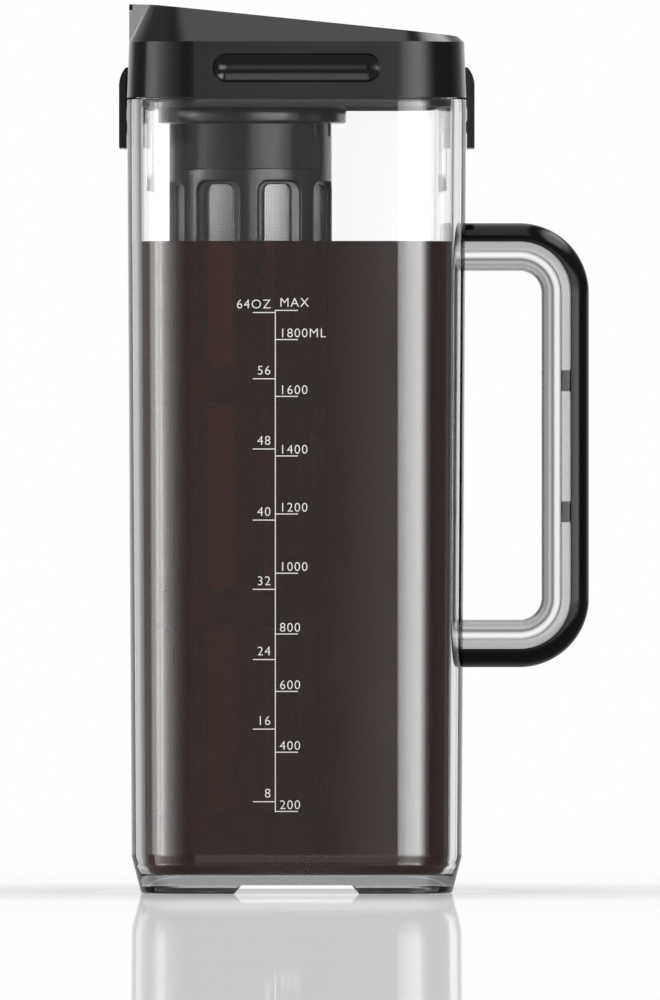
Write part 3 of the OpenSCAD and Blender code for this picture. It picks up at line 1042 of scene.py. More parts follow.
@dataclass
class Pitcher:
    """The clear body with its foot, latch pockets, catch ribs and neck.

    An inset is a distance in from the shoulder's outline.
    """

    plan: SquarePlan = field(default_factory=SquarePlan)
    shoulder_z: float = 262.1
    shoulder_round: tuple[tuple[float, float], ...] = ((261.4, 0.0), (261.75, 0.1), (261.98, 0.4))
    neck_z: float = 265.0
    neck_inset: float = 2.7
    wall: float = 4.4
    draft: float = 1.5
    foot_h: float = 12.2
    foot_taper: float = 3.2
    floor_z: float = 6.6
    floor_corner: tuple[float, float] = (1.2, 3.0)  # run and rise of the cavity's low corner
    recess_z: float = 3.0
    rim: float = 3.2
    rim_round: tuple[tuple[float, float], ...] = ((0.4, 0.28), (0.9, 0.05))
    notch: tuple[float, float, float] = (20.6, 18.2, 2.8)  # half widths low and high, height
    pocket: tuple[float, float, float] = (20.0, 2.5, 234.1)  # half width, depth, lower edge
    rib: tuple[float, float, float, float] = (14.0, 255.4, 259.4, -0.1)  # half width, z, z, inset
    edge_fade: float = 0.3  # sideways distance over which a pocket or rib begins
    outside_rows: tuple[float, ...] = (
        0.12, 0.45, 1.0, 1.9, 2.65, 2.95, 4.0, 7.0, 10.0, 11.4, 12.2, 13.0, 15.0,
        25.0, 45.0, 65.0, 85.0, 105.0, 125.0, 145.0, 165.0, 185.0, 205.0, 225.0,
        230.5, 231.4, 231.8, 233.0, 233.9, 234.3, 238.0, 244.0, 250.0, 254.0,
        255.2, 255.5, 257.4, 259.3, 259.6, 260.6, 261.4, 261.75, 261.98,
    )
    cavity_corner_rows: tuple[float, ...] = (15.0, 12.0, 9.8, 9.4, 8.6, 7.6, 7.0)
    flat_insets: tuple[float, ...] = (56.0, 45.0, 30.0, 22.4, 14.0)  # rings of a level floor

    def outer_inset(self, height: np.ndarray) -> np.ndarray:
        """Inset of the outside: it leans evenly from shoulder to foot, and faster below that.

        Args:
            height: Heights in millimetres.

        Returns:
            The inset at each height.
        """
        foot = self.draft + self.foot_taper * (1 - height / self.foot_h)
        side = self.draft * (self.shoulder_z - height) / (self.shoulder_z - self.foot_h)
        return np.where(height < self.foot_h, foot, side)

    def inner_inset(self, height: np.ndarray) -> np.ndarray:
        """Inset of the cavity: it leans as the outside does and narrows at the floor's corner.

        Args:
            height: Heights in millimetres.

        Returns:
            The inset at each height.
        """
        step = self.floor_z + self.floor_corner[1]
        top = self.neck_z + 1
        side = self.wall + self.draft * (top - height) / (top - step)
        low = self.wall + self.draft + self.floor_corner[0] * (step - height) / self.floor_corner[1]
        return np.where(height < step, low, side)

    def _outside(self) -> tuple[np.ndarray, np.ndarray]:
        """Rows of the outside, from the rim's outer edge to the shoulder.

        The notch lifts a point to its height, and the pocket and rib move a point in or out.

        Returns:
            Inset and height of each point, row by row.
        """
        heights = np.array(self.outside_rows)
        x, y = self.plan.base.T
        z = np.maximum(heights[:, None], self._lift(x, y)[None])
        (low_end, low_inset), (high_end, high_inset) = self.rim_round
        rounding = np.where(heights < high_end, high_inset, 0.0)
        rounding = np.where(heights < low_end, low_inset, rounding)
        rounding = rounding + np.interp(heights, *np.array(self.shoulder_round).T)
        inset = self.outer_inset(z) + rounding[:, None]
        side = np.abs(self.plan.out[:, 0]) > 0.99
        half, depth, low = self.pocket
        edge = np.clip((half - np.abs(y)) / self.edge_fade, 0, 1) * side
        pocket = np.maximum(inset, depth - np.maximum(0, low - z))
        inset = inset + (pocket - inset) * edge[None]
        rib_half, rib_low, rib_high, rib_inset = self.rib
        rib_edge = np.clip((rib_half + 0.2 - np.abs(y)) / self.edge_fade, 0, 1) * side
        level = ((heights > rib_low) & (heights < rib_high)).astype(float)[:, None]
        return inset + (rib_inset - inset) * rib_edge[None] * level, z

    def _lift(self, x: np.ndarray, y: np.ndarray) -> np.ndarray:
        """Height of the drain notch at each point of the front rim.

        Args:
            x: Place of each point along X.
            y: Place of each point along Y.

        Returns:
            The height, nil away from the notch.
        """
        wide, narrow, high = self.notch
        front = self.plan.out[:, 1] < -0.99
        return np.interp(np.abs(x), [narrow, wide], [high, 0.0]) * front

    def surface(self) -> tuple[np.ndarray, np.ndarray]:
        """The closed surface: underside, foot rim, outside, neck, cavity and floor in one grid.

        Returns:
            Points and quads.
        """
        plan, flat = self.plan, self.flat_insets
        foot = self.draft + self.foot_taper
        inner = foot + self.rim
        recess = [inner + 0.5, inner + 0.15, inner, inner, inner - 0.1]
        recess_z = [self.recess_z * share for share in (1.0, 0.96, 0.85, 0.1, 0.03)]
        rim = [inner - 0.4, foot + 1.4, foot + 0.55]
        low_z = np.array([self.recess_z] * len(flat) + recess_z + [0.0] * len(rim))
        low_z = np.maximum(low_z[:, None], self._lift(*plan.base.T)[None])
        low = plan.ring(np.array([*flat, *recess, *rim]), low_z)
        outside = plan.ring(*self._outside())
        n, base, top, floor_z = self.neck_inset, self.shoulder_z, self.neck_z, self.floor_z
        neck = [[n - 0.9, base], [n - 0.15, base], [n, base + 0.15], [n, top - 0.45]]
        neck += [[n + 0.12, top - 0.12], [n + 0.45, top]]
        bore = self.inner_inset(np.array([top - 0.4]))[0]
        lip = [[bore - 0.4, top], [bore - 0.1, top - 0.1]]
        walls = [264.6, 262.0, 258.0, *np.linspace(250, 20, 10)]
        heights = np.array([*walls, *self.cavity_corner_rows])
        cavity = np.stack([self.inner_inset(heights), heights], -1)
        last = self.wall + self.draft + self.floor_corner[0]
        floor = [[last - 0.05, floor_z + 0.2], [last + 0.3, floor_z + 0.04], [last + 0.9, floor_z]]
        floor += [[inset, floor_z] for inset in flat[::-1]]
        rows = np.concatenate([neck, lip, cavity, floor])
        grid = np.concatenate([low, outside, plan.ring(rows[:, 0], rows[:, 1])])
        return grid.reshape(-1, 3), grid_quads(len(grid), grid.shape[1])

    def build(self, finish: bpy.types.Material) -> bpy.types.Object:
        """Makes the body.

        Args:
            finish: The clear plastic.

        Returns:
            The object.
        """
        points, quads = self.surface()
        piece = add_piece("pitcher_clear", points, quads, sharp=30)
        return dress(piece, finish, Body.BODY, "pitcher")


@dataclass
class Coffee:
    """The brew in the pitcher, a hair clear of the wall."""

    pitcher: Pitcher
    level: float = 214.5
    gap: float = 0.1
    floor_rows: tuple[float, ...] = (6.85, 7.6, 8.6, 9.4, 9.8, 12.0, 15.0)
    climb: float = 0.5
    # distance in from the wall and height over the level, where the brew climbs the wall
    meniscus: tuple[tuple[float, float], ...] = (
        (0.12, 0.5), (0.45, 0.22), (1.1, 0.05), (2.2, 0.0), (8.0, 0.0), (16.8, 0.0), (30.0, 0.0),
        (50.0, 0.0),
    )

    def build(self, finish: bpy.types.Material) -> bpy.types.Object:
        """Makes the liquid: floor, sloped corner, side and level top with a raised edge.

        Args:
            finish: The brew.

        Returns:
            The object.
        """
        middle, bed = self.pitcher.plan.half, self.pitcher.floor_z + self.gap
        ends = [212.0, self.level + self.climb]
        heights = np.array([*self.floor_rows, *np.linspace(25, 205, 10), *ends])
        side = np.stack([self.pitcher.inner_inset(heights) + self.gap, heights], -1)
        low = [[inset, bed] for inset in (middle, 40.0, 22.4, 14.0, side[0, 0] + 0.8)]
        top = np.array(self.meniscus) + np.array([side[-1, 0], self.level])
        rows = np.concatenate([low, side, top, [[middle, self.level]]])
        grid = self.pitcher.plan.ring(rows[:, 0], rows[:, 1])
        quads = grid_quads(len(grid), grid.shape[1])
        piece = add_piece("cold_brew", grid.reshape(-1, 3), quads, sharp=50)
        return dress(piece, finish, Body.BODY)


@dataclass
class Graduations:
    """The printed scale on the front: two columns of plain figures on one upright line."""

    pitcher: Pitcher
    line_x: float = -7.0
    line_z: tuple[float, float] = (27.1, 192.1)
    stroke: float = 0.32
    thick: float = 0.04
    gap: float = 0.005
    cap: float = 3.12
    size_per_cap: float = 1.37
    spacing: float = 1.13
    thinner: float = 0.03
    left_x: float = -14.4
    right_x: float = 0.45
    left_text_x: float = -8.45
    right_text_x: float = -5.65
    left_text_up: float = 1.35
    right_text_up: float = 0.75
    top_text_up: float = 1.2
    left: tuple[tuple[str, float], ...] = (
        ("64OZ", 191.4), ("56", 169.6), ("48", 146.5), ("40", 123.1),
        ("32", 100.3), ("24", 77.2), ("16", 54.3), ("8", 30.4),
    )
    right: tuple[tuple[str, float], ...] = (
        ("MAX", 192.1), ("1800ML", 182.5), ("1600", 163.8), ("1400", 144.2), ("1200", 125.1),
        ("1000", 105.6), ("800", 85.6), ("600", 66.7), ("400", 46.7), ("200", 27.2),
    )

    def _on_face(self, x: np.ndarray, z: np.ndarray, out: np.ndarray) -> np.ndarray:
        """Points on the leaning front: y is the front's place at that height less the distance."""
        front = self.pitcher.plan.half - self.pitcher.outer_inset(z)
        return np.stack([x, -(front + out), z], -1)

    def _bars(self, boxes: np.ndarray) -> tuple[np.ndarray, np.ndarray]:
        """Thin boxes on the face.

        Args:
            boxes: Rows of lowest x, highest x, lowest z, highest z.

        Returns:
            Points and quads.
        """
        x0, x1, z0, z1 = boxes.T
        x = np.stack([x0, x1, x1, x0] * 2, 1)
        z = np.stack([z0, z0, z1, z1] * 2, 1)
        out = np.tile([self.gap] * 4 + [self.thick] * 4, (len(boxes), 1))
        box = np.concatenate([grid_quads(2, 4), [[0, 3, 2, 1], [4, 5, 6, 7]]])
        faces = (box[None] + 8 * np.arange(len(boxes))[:, None, None]).reshape(-1, 4)
        return self._on_face(x, z, out).reshape(-1, 3), faces

    def _figures(
        self, text: str, x: float, z: float, align: str
    ) -> tuple[np.ndarray, list[list[int]]]:
        """Outlines of one label, set flat, then laid on the face.

        Args:
            text: The figures.
            x: Where the label starts or ends.
            z: Its baseline.
            align: LEFT or RIGHT.

        Returns:
            Points and faces.
        """
        curve = bpy.data.curves.new("label", "FONT")
        curve.body, curve.align_x = text, align
        curve.size = self.cap * self.size_per_cap * MM
        curve.extrude, curve.offset = 0.5 * self.thick * MM, -self.thinner * MM
        curve.resolution_u, curve.space_character = 4, self.spacing
        holder = link_object("label", curve)
        bpy.context.view_layer.update()
        final = holder.evaluated_get(bpy.context.evaluated_depsgraph_get())
        flat = bpy.data.meshes.new_from_object(final)
        co = np.zeros(len(flat.vertices) * 3)
        flat.vertices.foreach_get("co", co)
        co = co.reshape(-1, 3) / MM
        faces = [list(p.vertices) for p in flat.polygons]
        bpy.data.objects.remove(holder)
        bpy.data.curves.remove(curve)
        bpy.data.meshes.remove(flat)
        out = co[:, 2] + 0.5 * self.thick + self.gap
        return self._on_face(x + co[:, 0], z + co[:, 1], out), faces

    def build(self, finish: bpy.types.Material) -> bpy.types.Object:
        """Makes the print as one piece.

        Args:
            finish: The ink.

        Returns:
            The object.
        """
        s = self.stroke / 2
        boxes = [[self.line_x - s, self.line_x + s, self.line_z[0] - s, self.line_z[1] + s]]
        boxes += [[self.left_x, self.line_x - s, z - s, z + s] for _, z in self.left]
        boxes += [[self.line_x + s, self.right_x, z - s, z + s] for _, z in self.right]
        parts = [self._bars(np.array(boxes))]
        for text, z in self.left:
            parts.append(self._figures(text, self.left_text_x, z + self.left_text_up, "RIGHT"))
        for number, (text, z) in enumerate(self.right):
            up = self.right_text_up if number else self.top_text_up
            parts.append(self._figures(text, self.right_text_x, z + up, "LEFT"))
        points, faces, start = [], [], 0
        for part_points, part_faces in parts:
            points.append(part_points)
            faces += [[int(i) + start for i in f] for f in part_faces]
            start += len(part_points)
        piece = add_piece("graduation_print", np.concatenate(points), faces, sharp=30)
        return dress(piece, finish, Body.BODY)


# ---------------------------------------------------------------- handle


@dataclass
class Handle:
    """The clear channel and the dark grip that closes it, both swept round one loop.

    A radius is a distance from the two bends' axes, and on the straight parts from the line
    between them.
    """

    pitcher: Pitcher
    width: float = 22.0
    bend_x: float = 73.7
    bend_top: float = 198.3
    bend_low: float = 97.4
    inner_r: float = 7.3
    web_r: float = 13.6
    channel_r: float = 16.75
    grip_r: float = 16.9
    outer_r: float = 23.1
    flange: float = 2.5
    finger_round: float = 4.2
    palm_round: float = 6.0
    edge_round: float = 0.35
    web_round: float = 0.5
    grip_edge: float = 0.15
    tabs: tuple[float, ...] = (122.3, 165.7)
    tab_h: float = 7.0
    end_gap: float = 0.03
    bend_steps: int = 28
    arm_x: tuple[float, ...] = (56.0, 62.0, 68.0)

    def _stations(self) -> tuple[np.ndarray, np.ndarray]:
        """Where the section stands along the loop.

        Returns:
            The foot of each station in x and z, and the direction in which its radius is measured.
        """
        bend = np.radians(np.linspace(90, 0, self.bend_steps + 1))
        turn = np.stack([np.cos(bend), np.sin(bend)], -1)
        upright = np.linspace(self.bend_top, self.bend_low, 9)[1:-1]
        x = np.array([*self.arm_x, *[self.bend_x] * len(bend)])
        top = np.stack([x, np.full(len(x), self.bend_top)], -1)
        side = np.stack([np.full(len(upright), self.bend_x), upright], -1)
        low = np.stack([x[::-1], np.full(len(x), self.bend_low)], -1)
        half = np.concatenate([np.tile([0.0, 1.0], (len(self.arm_x), 1)), turn])
        across = np.tile([1.0, 0.0], (len(upright), 1))
        ways = np.concatenate([half, across, half[::-1] * np.array([1.0, -1.0])])
        return np.concatenate([top, side, low]), ways

    def _sweep(self, name: str, section: np.ndarray, sharp: float) -> bpy.types.Object:
        """Carries a section round the loop.

        Each point is its station's foot plus its radius along the station's way.

        Args:
            name: The object's name.
            section: Rows of radius and y.
            sharp: Angle past which edges stay sharp.

        Returns:
            The object, ended a hair short of the body's side.
        """
        feet, ways = self._stations()
        r, y = section[:, 0], section[:, 1]
        x = feet[:, :1] + ways[:, :1] * r
        z = feet[:, 1:] + ways[:, 1:] * r
        wall = self.pitcher.plan.half - self.pitcher.outer_inset(z) + self.end_gap
        ends = np.zeros(len(feet), bool)
        ends[[0, -1]] = True
        x = np.where(ends[:, None], wall, x)
        points = np.stack([x, np.broadcast_to(y, x.shape), z], -1).reshape(-1, 3)
        count = len(section)
        faces = closed_tube(len(feet), count)
        along = np.broadcast_to(np.stack([r, y], -1) * MM, (len(feet), count, 2)).reshape(-1, 2)
        return add_piece(name, points, faces, sharp=sharp, uv=along)

    def channel_section(self) -> np.ndarray:
        """Outline of the channel: a web with a rounded finger side and two flanges.

        Returns:
            Rows of radius and y.
        """
        h, f, e = self.width / 2, self.width / 2 - self.flange, self.edge_round
        half = [
            [self.inner_r, -h, self.finger_round], [self.channel_r, -h, e],
            [self.channel_r, -f, e], [self.web_r, -f, self.web_round],
        ]
        return rounded_outline(half + [[r, -y, round_] for r, y, round_ in half[::-1]], 10)

    def grip_section(self) -> np.ndarray:
        """Outline of the grip: flat against the flanges, rounded on the outside.

        Returns:
            Rows of radius and y.
        """
        h = self.width / 2
        half = [[self.grip_r, -h, self.grip_edge], [self.outer_r, -h, self.palm_round]]
        return rounded_outline(half + [[r, -y, round_] for r, y, round_ in half[::-1]], 14)

    def _tab_points(self) -> tuple[np.ndarray, np.ndarray]:
        """The tabs: a rounded outline carried from the web into the grip, and the outline.

        Returns:
            Points of each tab in rows of one outline, and the outline.
        """
        half, e = self.width / 2 - self.flange - 0.3, self.web_round
        box = [[-half, 0, e], [half, 0, e], [half, self.tab_h, e], [-half, self.tab_h, e]]
        outline = rounded_outline(box, 4)
        x = np.array([self.web_r + 0.02, self.web_r + 0.3, self.grip_r + 0.4]) + self.bend_x
        shrink = np.array([0.94, 1.0, 1.0])
        y = outline[:, 0] * shrink[:, None]
        z = (outline[:, 1] - self.tab_h / 2) * shrink[:, None] + self.tab_h / 2
        one = np.stack([np.broadcast_to(x[:, None], y.shape), y, z], -1)
        lift = np.zeros((len(self.tabs), 1, 1, 3))
        lift[:, 0, 0, 2] = self.tabs
        return one[None] + lift, outline

    def build(self, clear: bpy.types.Material, dark: bpy.types.Material) -> list[bpy.types.Object]:
        """Makes the channel, the grip and its tabs.

        Args:
            clear: Finish of the channel.
            dark: Finish of the grip.

        Returns:
            The objects.
        """
        channel = self._sweep("handle_channel", self.channel_section(), 30)
        grip = self._sweep("handle_grip_dark", self.grip_section(), 30)
        pieces = [
            dress(channel, clear, Body.BODY, "handle_frame"),
            dress(grip, dark, Body.BODY, "handle_grip"),
        ]
        grid, outline = self._tab_points()
        for number, tab in enumerate(grid):
            faces = closed_tube(3, len(outline))
            piece = add_piece(f"grip_tab_{number + 1}", tab.reshape(-1, 3), faces, sharp=30)
            pieces.append(dress(piece, dark, Body.BODY))
        return pieces


# ---------------------------------------------------------------- lid


@dataclass
class Lid:
    """The lid cover, the inner lid, its seal, the latches, the flap and the pins.

    A finger trough is a capsule lying along X, sunk into each side of the lid's leaning band.
    """

    edge: float = 0.5
    fine_edge: float = 0.3
    soft_edge: float = 0.4
    trough_y: float = 59.229
    trough_z: float = 272.1
    trough_half: float = 22.9
    trough_r: float = 6.0
    trough_cuts: int = 2
    on_capsule: float = 0.06  # a point this near the capsule is one of its own
    off_capsule: float = 0.7  # a new point starts no farther from it than this
    inside: tuple[float, float, float] = (29.0, 53.0, 4.9)  # reach in x, least y, reach in z
    band_y: float = 56.0
    band_z: float = 262.4
    band_h: float = 18.3
    band_lean: float = 0.7

    def _smooth_troughs(self, piece: bpy.types.Object) -> None:
        """Divides the finger troughs' faces and sets the new points on the true capsule.

        A capsule's points all stand the same distance from the nearest point of its axis, so each
        is moved along the line from that point. Points on the trough's outline stay.

        Args:
            piece: The lid cover.
        """
        mesh = piece.data
        co, foot = self._feet(mesh)
        near = np.abs(np.linalg.norm(co - foot, axis=1) - self.trough_r) < self.on_capsule
        corner, edge = np.zeros((2, len(mesh.loops)), np.int32)
        mesh.loops.foreach_get("vertex_index", corner)
        mesh.loops.foreach_get("edge_index", edge)
        start = np.zeros(len(mesh.polygons), np.int32)
        mesh.polygons.foreach_get("loop_start", start)
        whole = np.logical_and.reduceat(near[corner], start)
        count = np.diff(np.append(start, len(corner)))
        chosen = np.unique(edge[np.repeat(whole, count)]).tolist()
        LOG.info("trough faces %d, edges %d", whole.sum(), len(chosen))
        shape = bmesh.new()
        shape.from_mesh(mesh)
        shape.edges.ensure_lookup_table()
        edges = [shape.edges[number] for number in chosen]
        bmesh.ops.subdivide_edges(shape, edges=edges, cuts=self.trough_cuts, use_grid_fill=True)
        shape.to_mesh(mesh)
        shape.free()
        co, foot = self._feet(mesh)
        away, reach = co - foot, np.abs(co)
        far = np.linalg.norm(away, axis=1)
        face_y = self.band_y - self.band_lean * (co[:, 2] - self.band_z) / self.band_h
        wide, deep, high = self.inside
        move = (np.abs(far - self.trough_r) < self.off_capsule) & (reach[:, 1] < face_y - 0.08)
        move &= (reach[:, 0] < wide) & (reach[:, 1] > deep)
        move &= np.abs(co[:, 2] - self.trough_z) < high
        new = foot + away / np.maximum(far, 1e-9)[:, None] * self.trough_r
        co[move] = new[move]
        mesh.vertices.foreach_set("co", (co * MM).astype(np.float32).ravel())
        mesh.update()
        smooth_shade(mesh, EDGE_DEG)

    def _feet(self, mesh: bpy.types.Mesh) -> tuple[np.ndarray, np.ndarray]:
        """Finds the nearest point of a trough's axis for each point of a mesh.

        Args:
            mesh: The mesh.

        Returns:
            The points and their feet, in millimetres.
        """
        co = np.zeros(len(mesh.vertices) * 3, np.float32)
        mesh.vertices.foreach_get("co", co)
        co = co.reshape(-1, 3).astype(float) / MM
        along = np.clip(co[:, 0], -self.trough_half, self.trough_half)
        height = np.full(len(co), self.trough_z)
        return co, np.stack([along, np.sign(co[:, 1]) * self.trough_y, height], -1)

    def build(self, finishes: Finishes) -> list[bpy.types.Object]:
        """Makes the lid's pieces.

        Args:
            finishes: Every finish.

        Returns:
            The objects.
        """
        f, edge, fine, soft = finishes, self.edge, self.fine_edge, self.soft_edge
        table = (
            ("lid_shell", "lid_cover", edge, 3, f.lid, Body.LID, Slot.LID),
            ("lid_base", "lid_plug", fine, 2, f.plug, Body.LID, Slot.LID),
            ("lid_seal", "lid_seal_ring", soft, 3, f.seal, Body.LID, Slot.SEAL),
            ("latch_left", "latch_left_lever", edge, 3, f.latch, Body.LATCH_LEFT, Slot.LID),
            ("latch_right", "latch_right_lever", edge, 3, f.latch, Body.LATCH_RIGHT, Slot.LID),
            ("spout_flap", "pour_flap", fine, 3, f.lid, Body.FLAP, Slot.LID),
            ("spout_seal", "flap_plug", soft, 3, f.seal, Body.FLAP, Slot.SEAL),
        )
        pieces = []
        for node, name, width, segments, finish, body, slot in table:
            piece = refined_copy(node, name, width, segments)
            if node == "lid_shell":
                self._smooth_troughs(piece)
            pieces.append(dress(piece, finish, body, node))
        for node in ("latch_pin_left", "latch_pin_right", "spout_flap_pin"):
            repaint(node, f.pin)
        return pieces


# ---------------------------------------------------------------- filter


@dataclass
class Filter:
    """The hanging filter: collar, cage with rows of windows, woven sleeve, end cap and gasket.

    A cell is the part of the cage round one window, and its points run round the window. A window
    is the pocket between the ribs, and an opening is the hole in the frame at the pocket's bottom.
    """

    axis_x: float = -15.9
    outer_r: float = 27.6
    inner_r: float = 24.6
    low_z: float = 20.0
    collar_low: float = 238.8
    flange_low: float = 254.4
    flange_top: float = 259.4
    neck_top: float = 264.4
    flange_r: float = 32.3
    neck_r: float = 29.1
    bore_r: float = 25.6
    window_half: float = 7.6
    window_round: float = 3.6
    window_h: float = 62.6
    frame_x: float = 25.4
    frame_side: float = 2.8
    frame_end: float = 1.0
    frame_round: float = 2.5
    row_mid: tuple[float, ...] = (57.4, 130.6, 203.8)
    pitch_z: float = 73.2
    count: int = 8
    rib_round: float = 0.45
    frame_edge: float = 0.2
    side_steps: int = 6
    cap_steps: int = 3
    skin_shares: tuple[float, ...] = (1.0, 0.72, 0.4, 0.15)
    join_gap: float = 0.12
    mark_deg: tuple[float, float] = (52.4, 74.5)
    mark_h: float = 4.3
    cap_profile: tuple[tuple[float, float], ...] = (
        (0.0, 20.0), (12.0, 20.0), (23.8, 20.0), (24.4, 20.2), (24.58, 20.8), (24.58, 22.6),
        (24.2, 23.0), (12.0, 23.0), (0.0, 23.0),
    )
    sleeve_z: tuple[float, float] = (23.0, 242.8)
    sleeve_thick: float = 0.38
    sleeve_gap: float = 0.02

    def _outline(self, w: float, h: float, r: float) -> np.ndarray:
        """Outline of a rounded opening: half a turn of points, then the same half turned round.

        Args:
            w: Half its width.
            h: Half its height.
            r: Radius of its corners.

        Returns:
            Sideways place and height of each point, anticlockwise from the lower right.
        """
        side = np.linspace(-h + r, h - r, self.side_steps, endpoint=False)
        cap = np.linspace(w - r, -w + r, self.cap_steps, endpoint=False)
        arc = np.radians(np.linspace(0, 90, 2 * self.side_steps, endpoint=False))
        right = np.stack([np.full(len(side), w), side], -1)
        corner = np.array([w - r, h - r]) + r * np.stack([np.cos(arc), np.sin(arc)], -1)
        top = np.stack([cap, np.full(len(cap), h)], -1)
        other = np.array([-w + r, h - r]) + r * np.stack([-np.sin(arc), np.cos(arc)], -1)
        half = np.concatenate([right, corner, top, other])
        return np.concatenate([half, -half]).T

    def _window(self, offset: float) -> np.ndarray:
        """Outline of the pocket between the ribs, grown by the offset."""
        w, h, r = self.window_half, self.window_h / 2, self.window_round
        return self._outline(w + offset, h + offset, r + offset)

    def _opening(self, offset: float) -> np.ndarray:
        """Outline of the opening in the frame, grown by the offset."""
        half, high = self.window_half - self.frame_side, self.window_h / 2 - self.frame_end
        return self._outline(half + offset, high + offset, self.frame_round + offset)

    def _cell(self) -> np.ndarray:
        """Edge of the cell round a window, point for point with the window's outline.

        Returns:
            Angle in radians and height of each point.
        """
        reach, high = np.pi / self.count, self.pitch_z / 2
        w, h, r = self.window_half, self.window_h / 2, self.window_round
        steps = self.side_steps
        side = np.linspace(-h + r, h - r, steps, endpoint=False)
        cap_angle = math.asin((w - r) / self.outer_r)
        cap = np.linspace(cap_angle, -cap_angle, self.cap_steps, endpoint=False)
        up = np.stack([np.full(steps + 1, reach), np.linspace(h - r, high, steps + 1)], -1)
        inward = np.linspace(reach, cap_angle, steps + 1)
        over = np.stack([inward, np.full(steps + 1, high)], -1)
        right = np.stack([np.full(steps, reach), side], -1)
        top = np.stack([cap, np.full(len(cap), high)], -1)
        other = np.concatenate([over[:0:-1], up[:0:-1]]) * np.array([-1.0, 1.0])
        half = np.concatenate([right, up[:-1], over[:-1], top, other])
        return np.concatenate([half, -half]).T

    def _skin(self, radius: float, outline: np.ndarray, share: float) -> np.ndarray:
        """Points on a round skin, part of the way from an outline to the cell's edge.

        Angle and height are each mixed by the share.

        Args:
            radius: The skin's radius.
            outline: Sideways place and height of the outline.
            share: How far towards the cell's edge.

        Returns:
            Points with x outwards, y sideways and z up.
        """
        cell_angle, cell_z = self._cell()
        angle = np.arcsin(outline[0] / radius) * (1 - share) + cell_angle * share
        height = outline[1] * (1 - share) + cell_z * share
        return np.stack([radius * np.cos(angle), radius * np.sin(angle), height], -1)

    def _ledge(self, x: float, outline: np.ndarray) -> np.ndarray:
        """Points of an outline on the flat plane at a distance x from the axis."""
        return np.stack([np.full(outline.shape[1], x), outline[0], outline[1]], -1)

    def _cell_rows(self) -> np.ndarray:
        """Rows of one cell's grid: outer skin, rounded rib edge, ledge, opening and inner skin.

        Returns:
            Rows by points by three coordinates, with the window facing along X.
        """
        e, f, x = self.rib_round, self.frame_edge, self.frame_x
        rows = [self._skin(self.outer_r, self._window(e), share) for share in self.skin_shares]
        for turn in np.radians(np.linspace(0, 90, 5)):
            radius, grown = self.outer_r - e * (1 - math.cos(turn)), e * (1 - math.sin(turn))
            rows.append(self._skin(radius, self._window(grown), 0))
        pocket, hole, low = self._window(-f), self._opening(f), 0.3 * f
        ledges = [
            (x + f, self._window(0)), (x + 0.05, self._window(-low)), (x, pocket),
            (x, (pocket + hole) / 2), (x, hole), (x - low, self._opening(low)),
            (x - f, self._opening(0)),
        ]
        rows += [self._ledge(*ledge) for ledge in ledges]
        shares = (0.0, *self.skin_shares[::-1])
        rows += [self._skin(self.inner_r, self._opening(0), share) for share in shares]
        return np.array(rows)

    def _cage(self) -> tuple[np.ndarray, list[list[int]]]:
        """The cage: the cell repeated round the axis and up it, and closed at both ends.

        Returns:
            Points and faces.
        """
        cell = self._cell_rows()
        rows, cols = cell.shape[:2]
        turns = (np.arange(self.count) + 0.5) * 2 * np.pi / self.count
        c, s = np.cos(turns), np.sin(turns)
        zero, one = np.zeros_like(c), np.ones_like(c)
        spin = np.array([[c, -s, zero], [s, c, zero], [zero, zero, one]])
        mids, reach = np.array(self.row_mid), self.pitch_z / 2 - 0.01
        points = np.einsum("ijk,rcj->krci", spin, cell)[:, None]
        points = points + np.array([0, 0, 1.0]) * mids[:, None, None, None]
        top, z = self.collar_low - self.join_gap, points[..., 2]
        z = np.where(z > mids[-1] + reach, top, z)
        points[..., 2] = np.where(z < mids[0] - reach, self.low_z, z)
        points[..., 0] += self.axis_x
        quads = grid_quads(rows, cols)
        cells = self.count * len(mids)
        shift = rows * cols * np.arange(cells)[:, None, None]
        faces = (quads[None] + shift).reshape(-1, 4).tolist()
        cell_angle, cell_z = self._cell()
        rim = cell_angle[cell_z > reach]
        rim = np.unique(np.round((rim + turns[:, None]).ravel() % (2 * np.pi), 9))
        radii = np.array([[self.outer_r], [self.inner_r]])
        around = np.stack([self.axis_x + radii * np.cos(rim), radii * np.sin(rim)], -1)
        start = points.size // 3
        ends = np.stack([np.insert(around, 2, z, axis=-1) for z in (self.low_z, top)])
        quads = grid_quads(2, len(rim)) + start
        faces += quads[:, ::-1].tolist() + (quads + 2 * len(rim)).tolist()
        return np.concatenate([points.reshape(-1, 3), ends.reshape(-1, 3)]), faces

    def _collar_profile(self) -> np.ndarray:
        """Half section of the collar: bore, lower edge, barrel, flange and neck, closed.

        Returns:
            Rows of radius and height.
        """
        corners = [
            [self.bore_r, self.collar_low, 0.3], [self.outer_r, self.collar_low, 0.5],
            [self.outer_r, self.flange_low, 0.5], [self.flange_r, self.flange_low, 0.7],
            [self.flange_r, self.flange_top, 0.5], [self.neck_r, self.flange_top, 0.3],
            [self.neck_r, self.neck_top, 0.5], [self.bore_r, self.neck_top, 0.5],
        ]
        outline = rounded_outline(corners, 4)
        return np.concatenate([outline, outline[:1]])

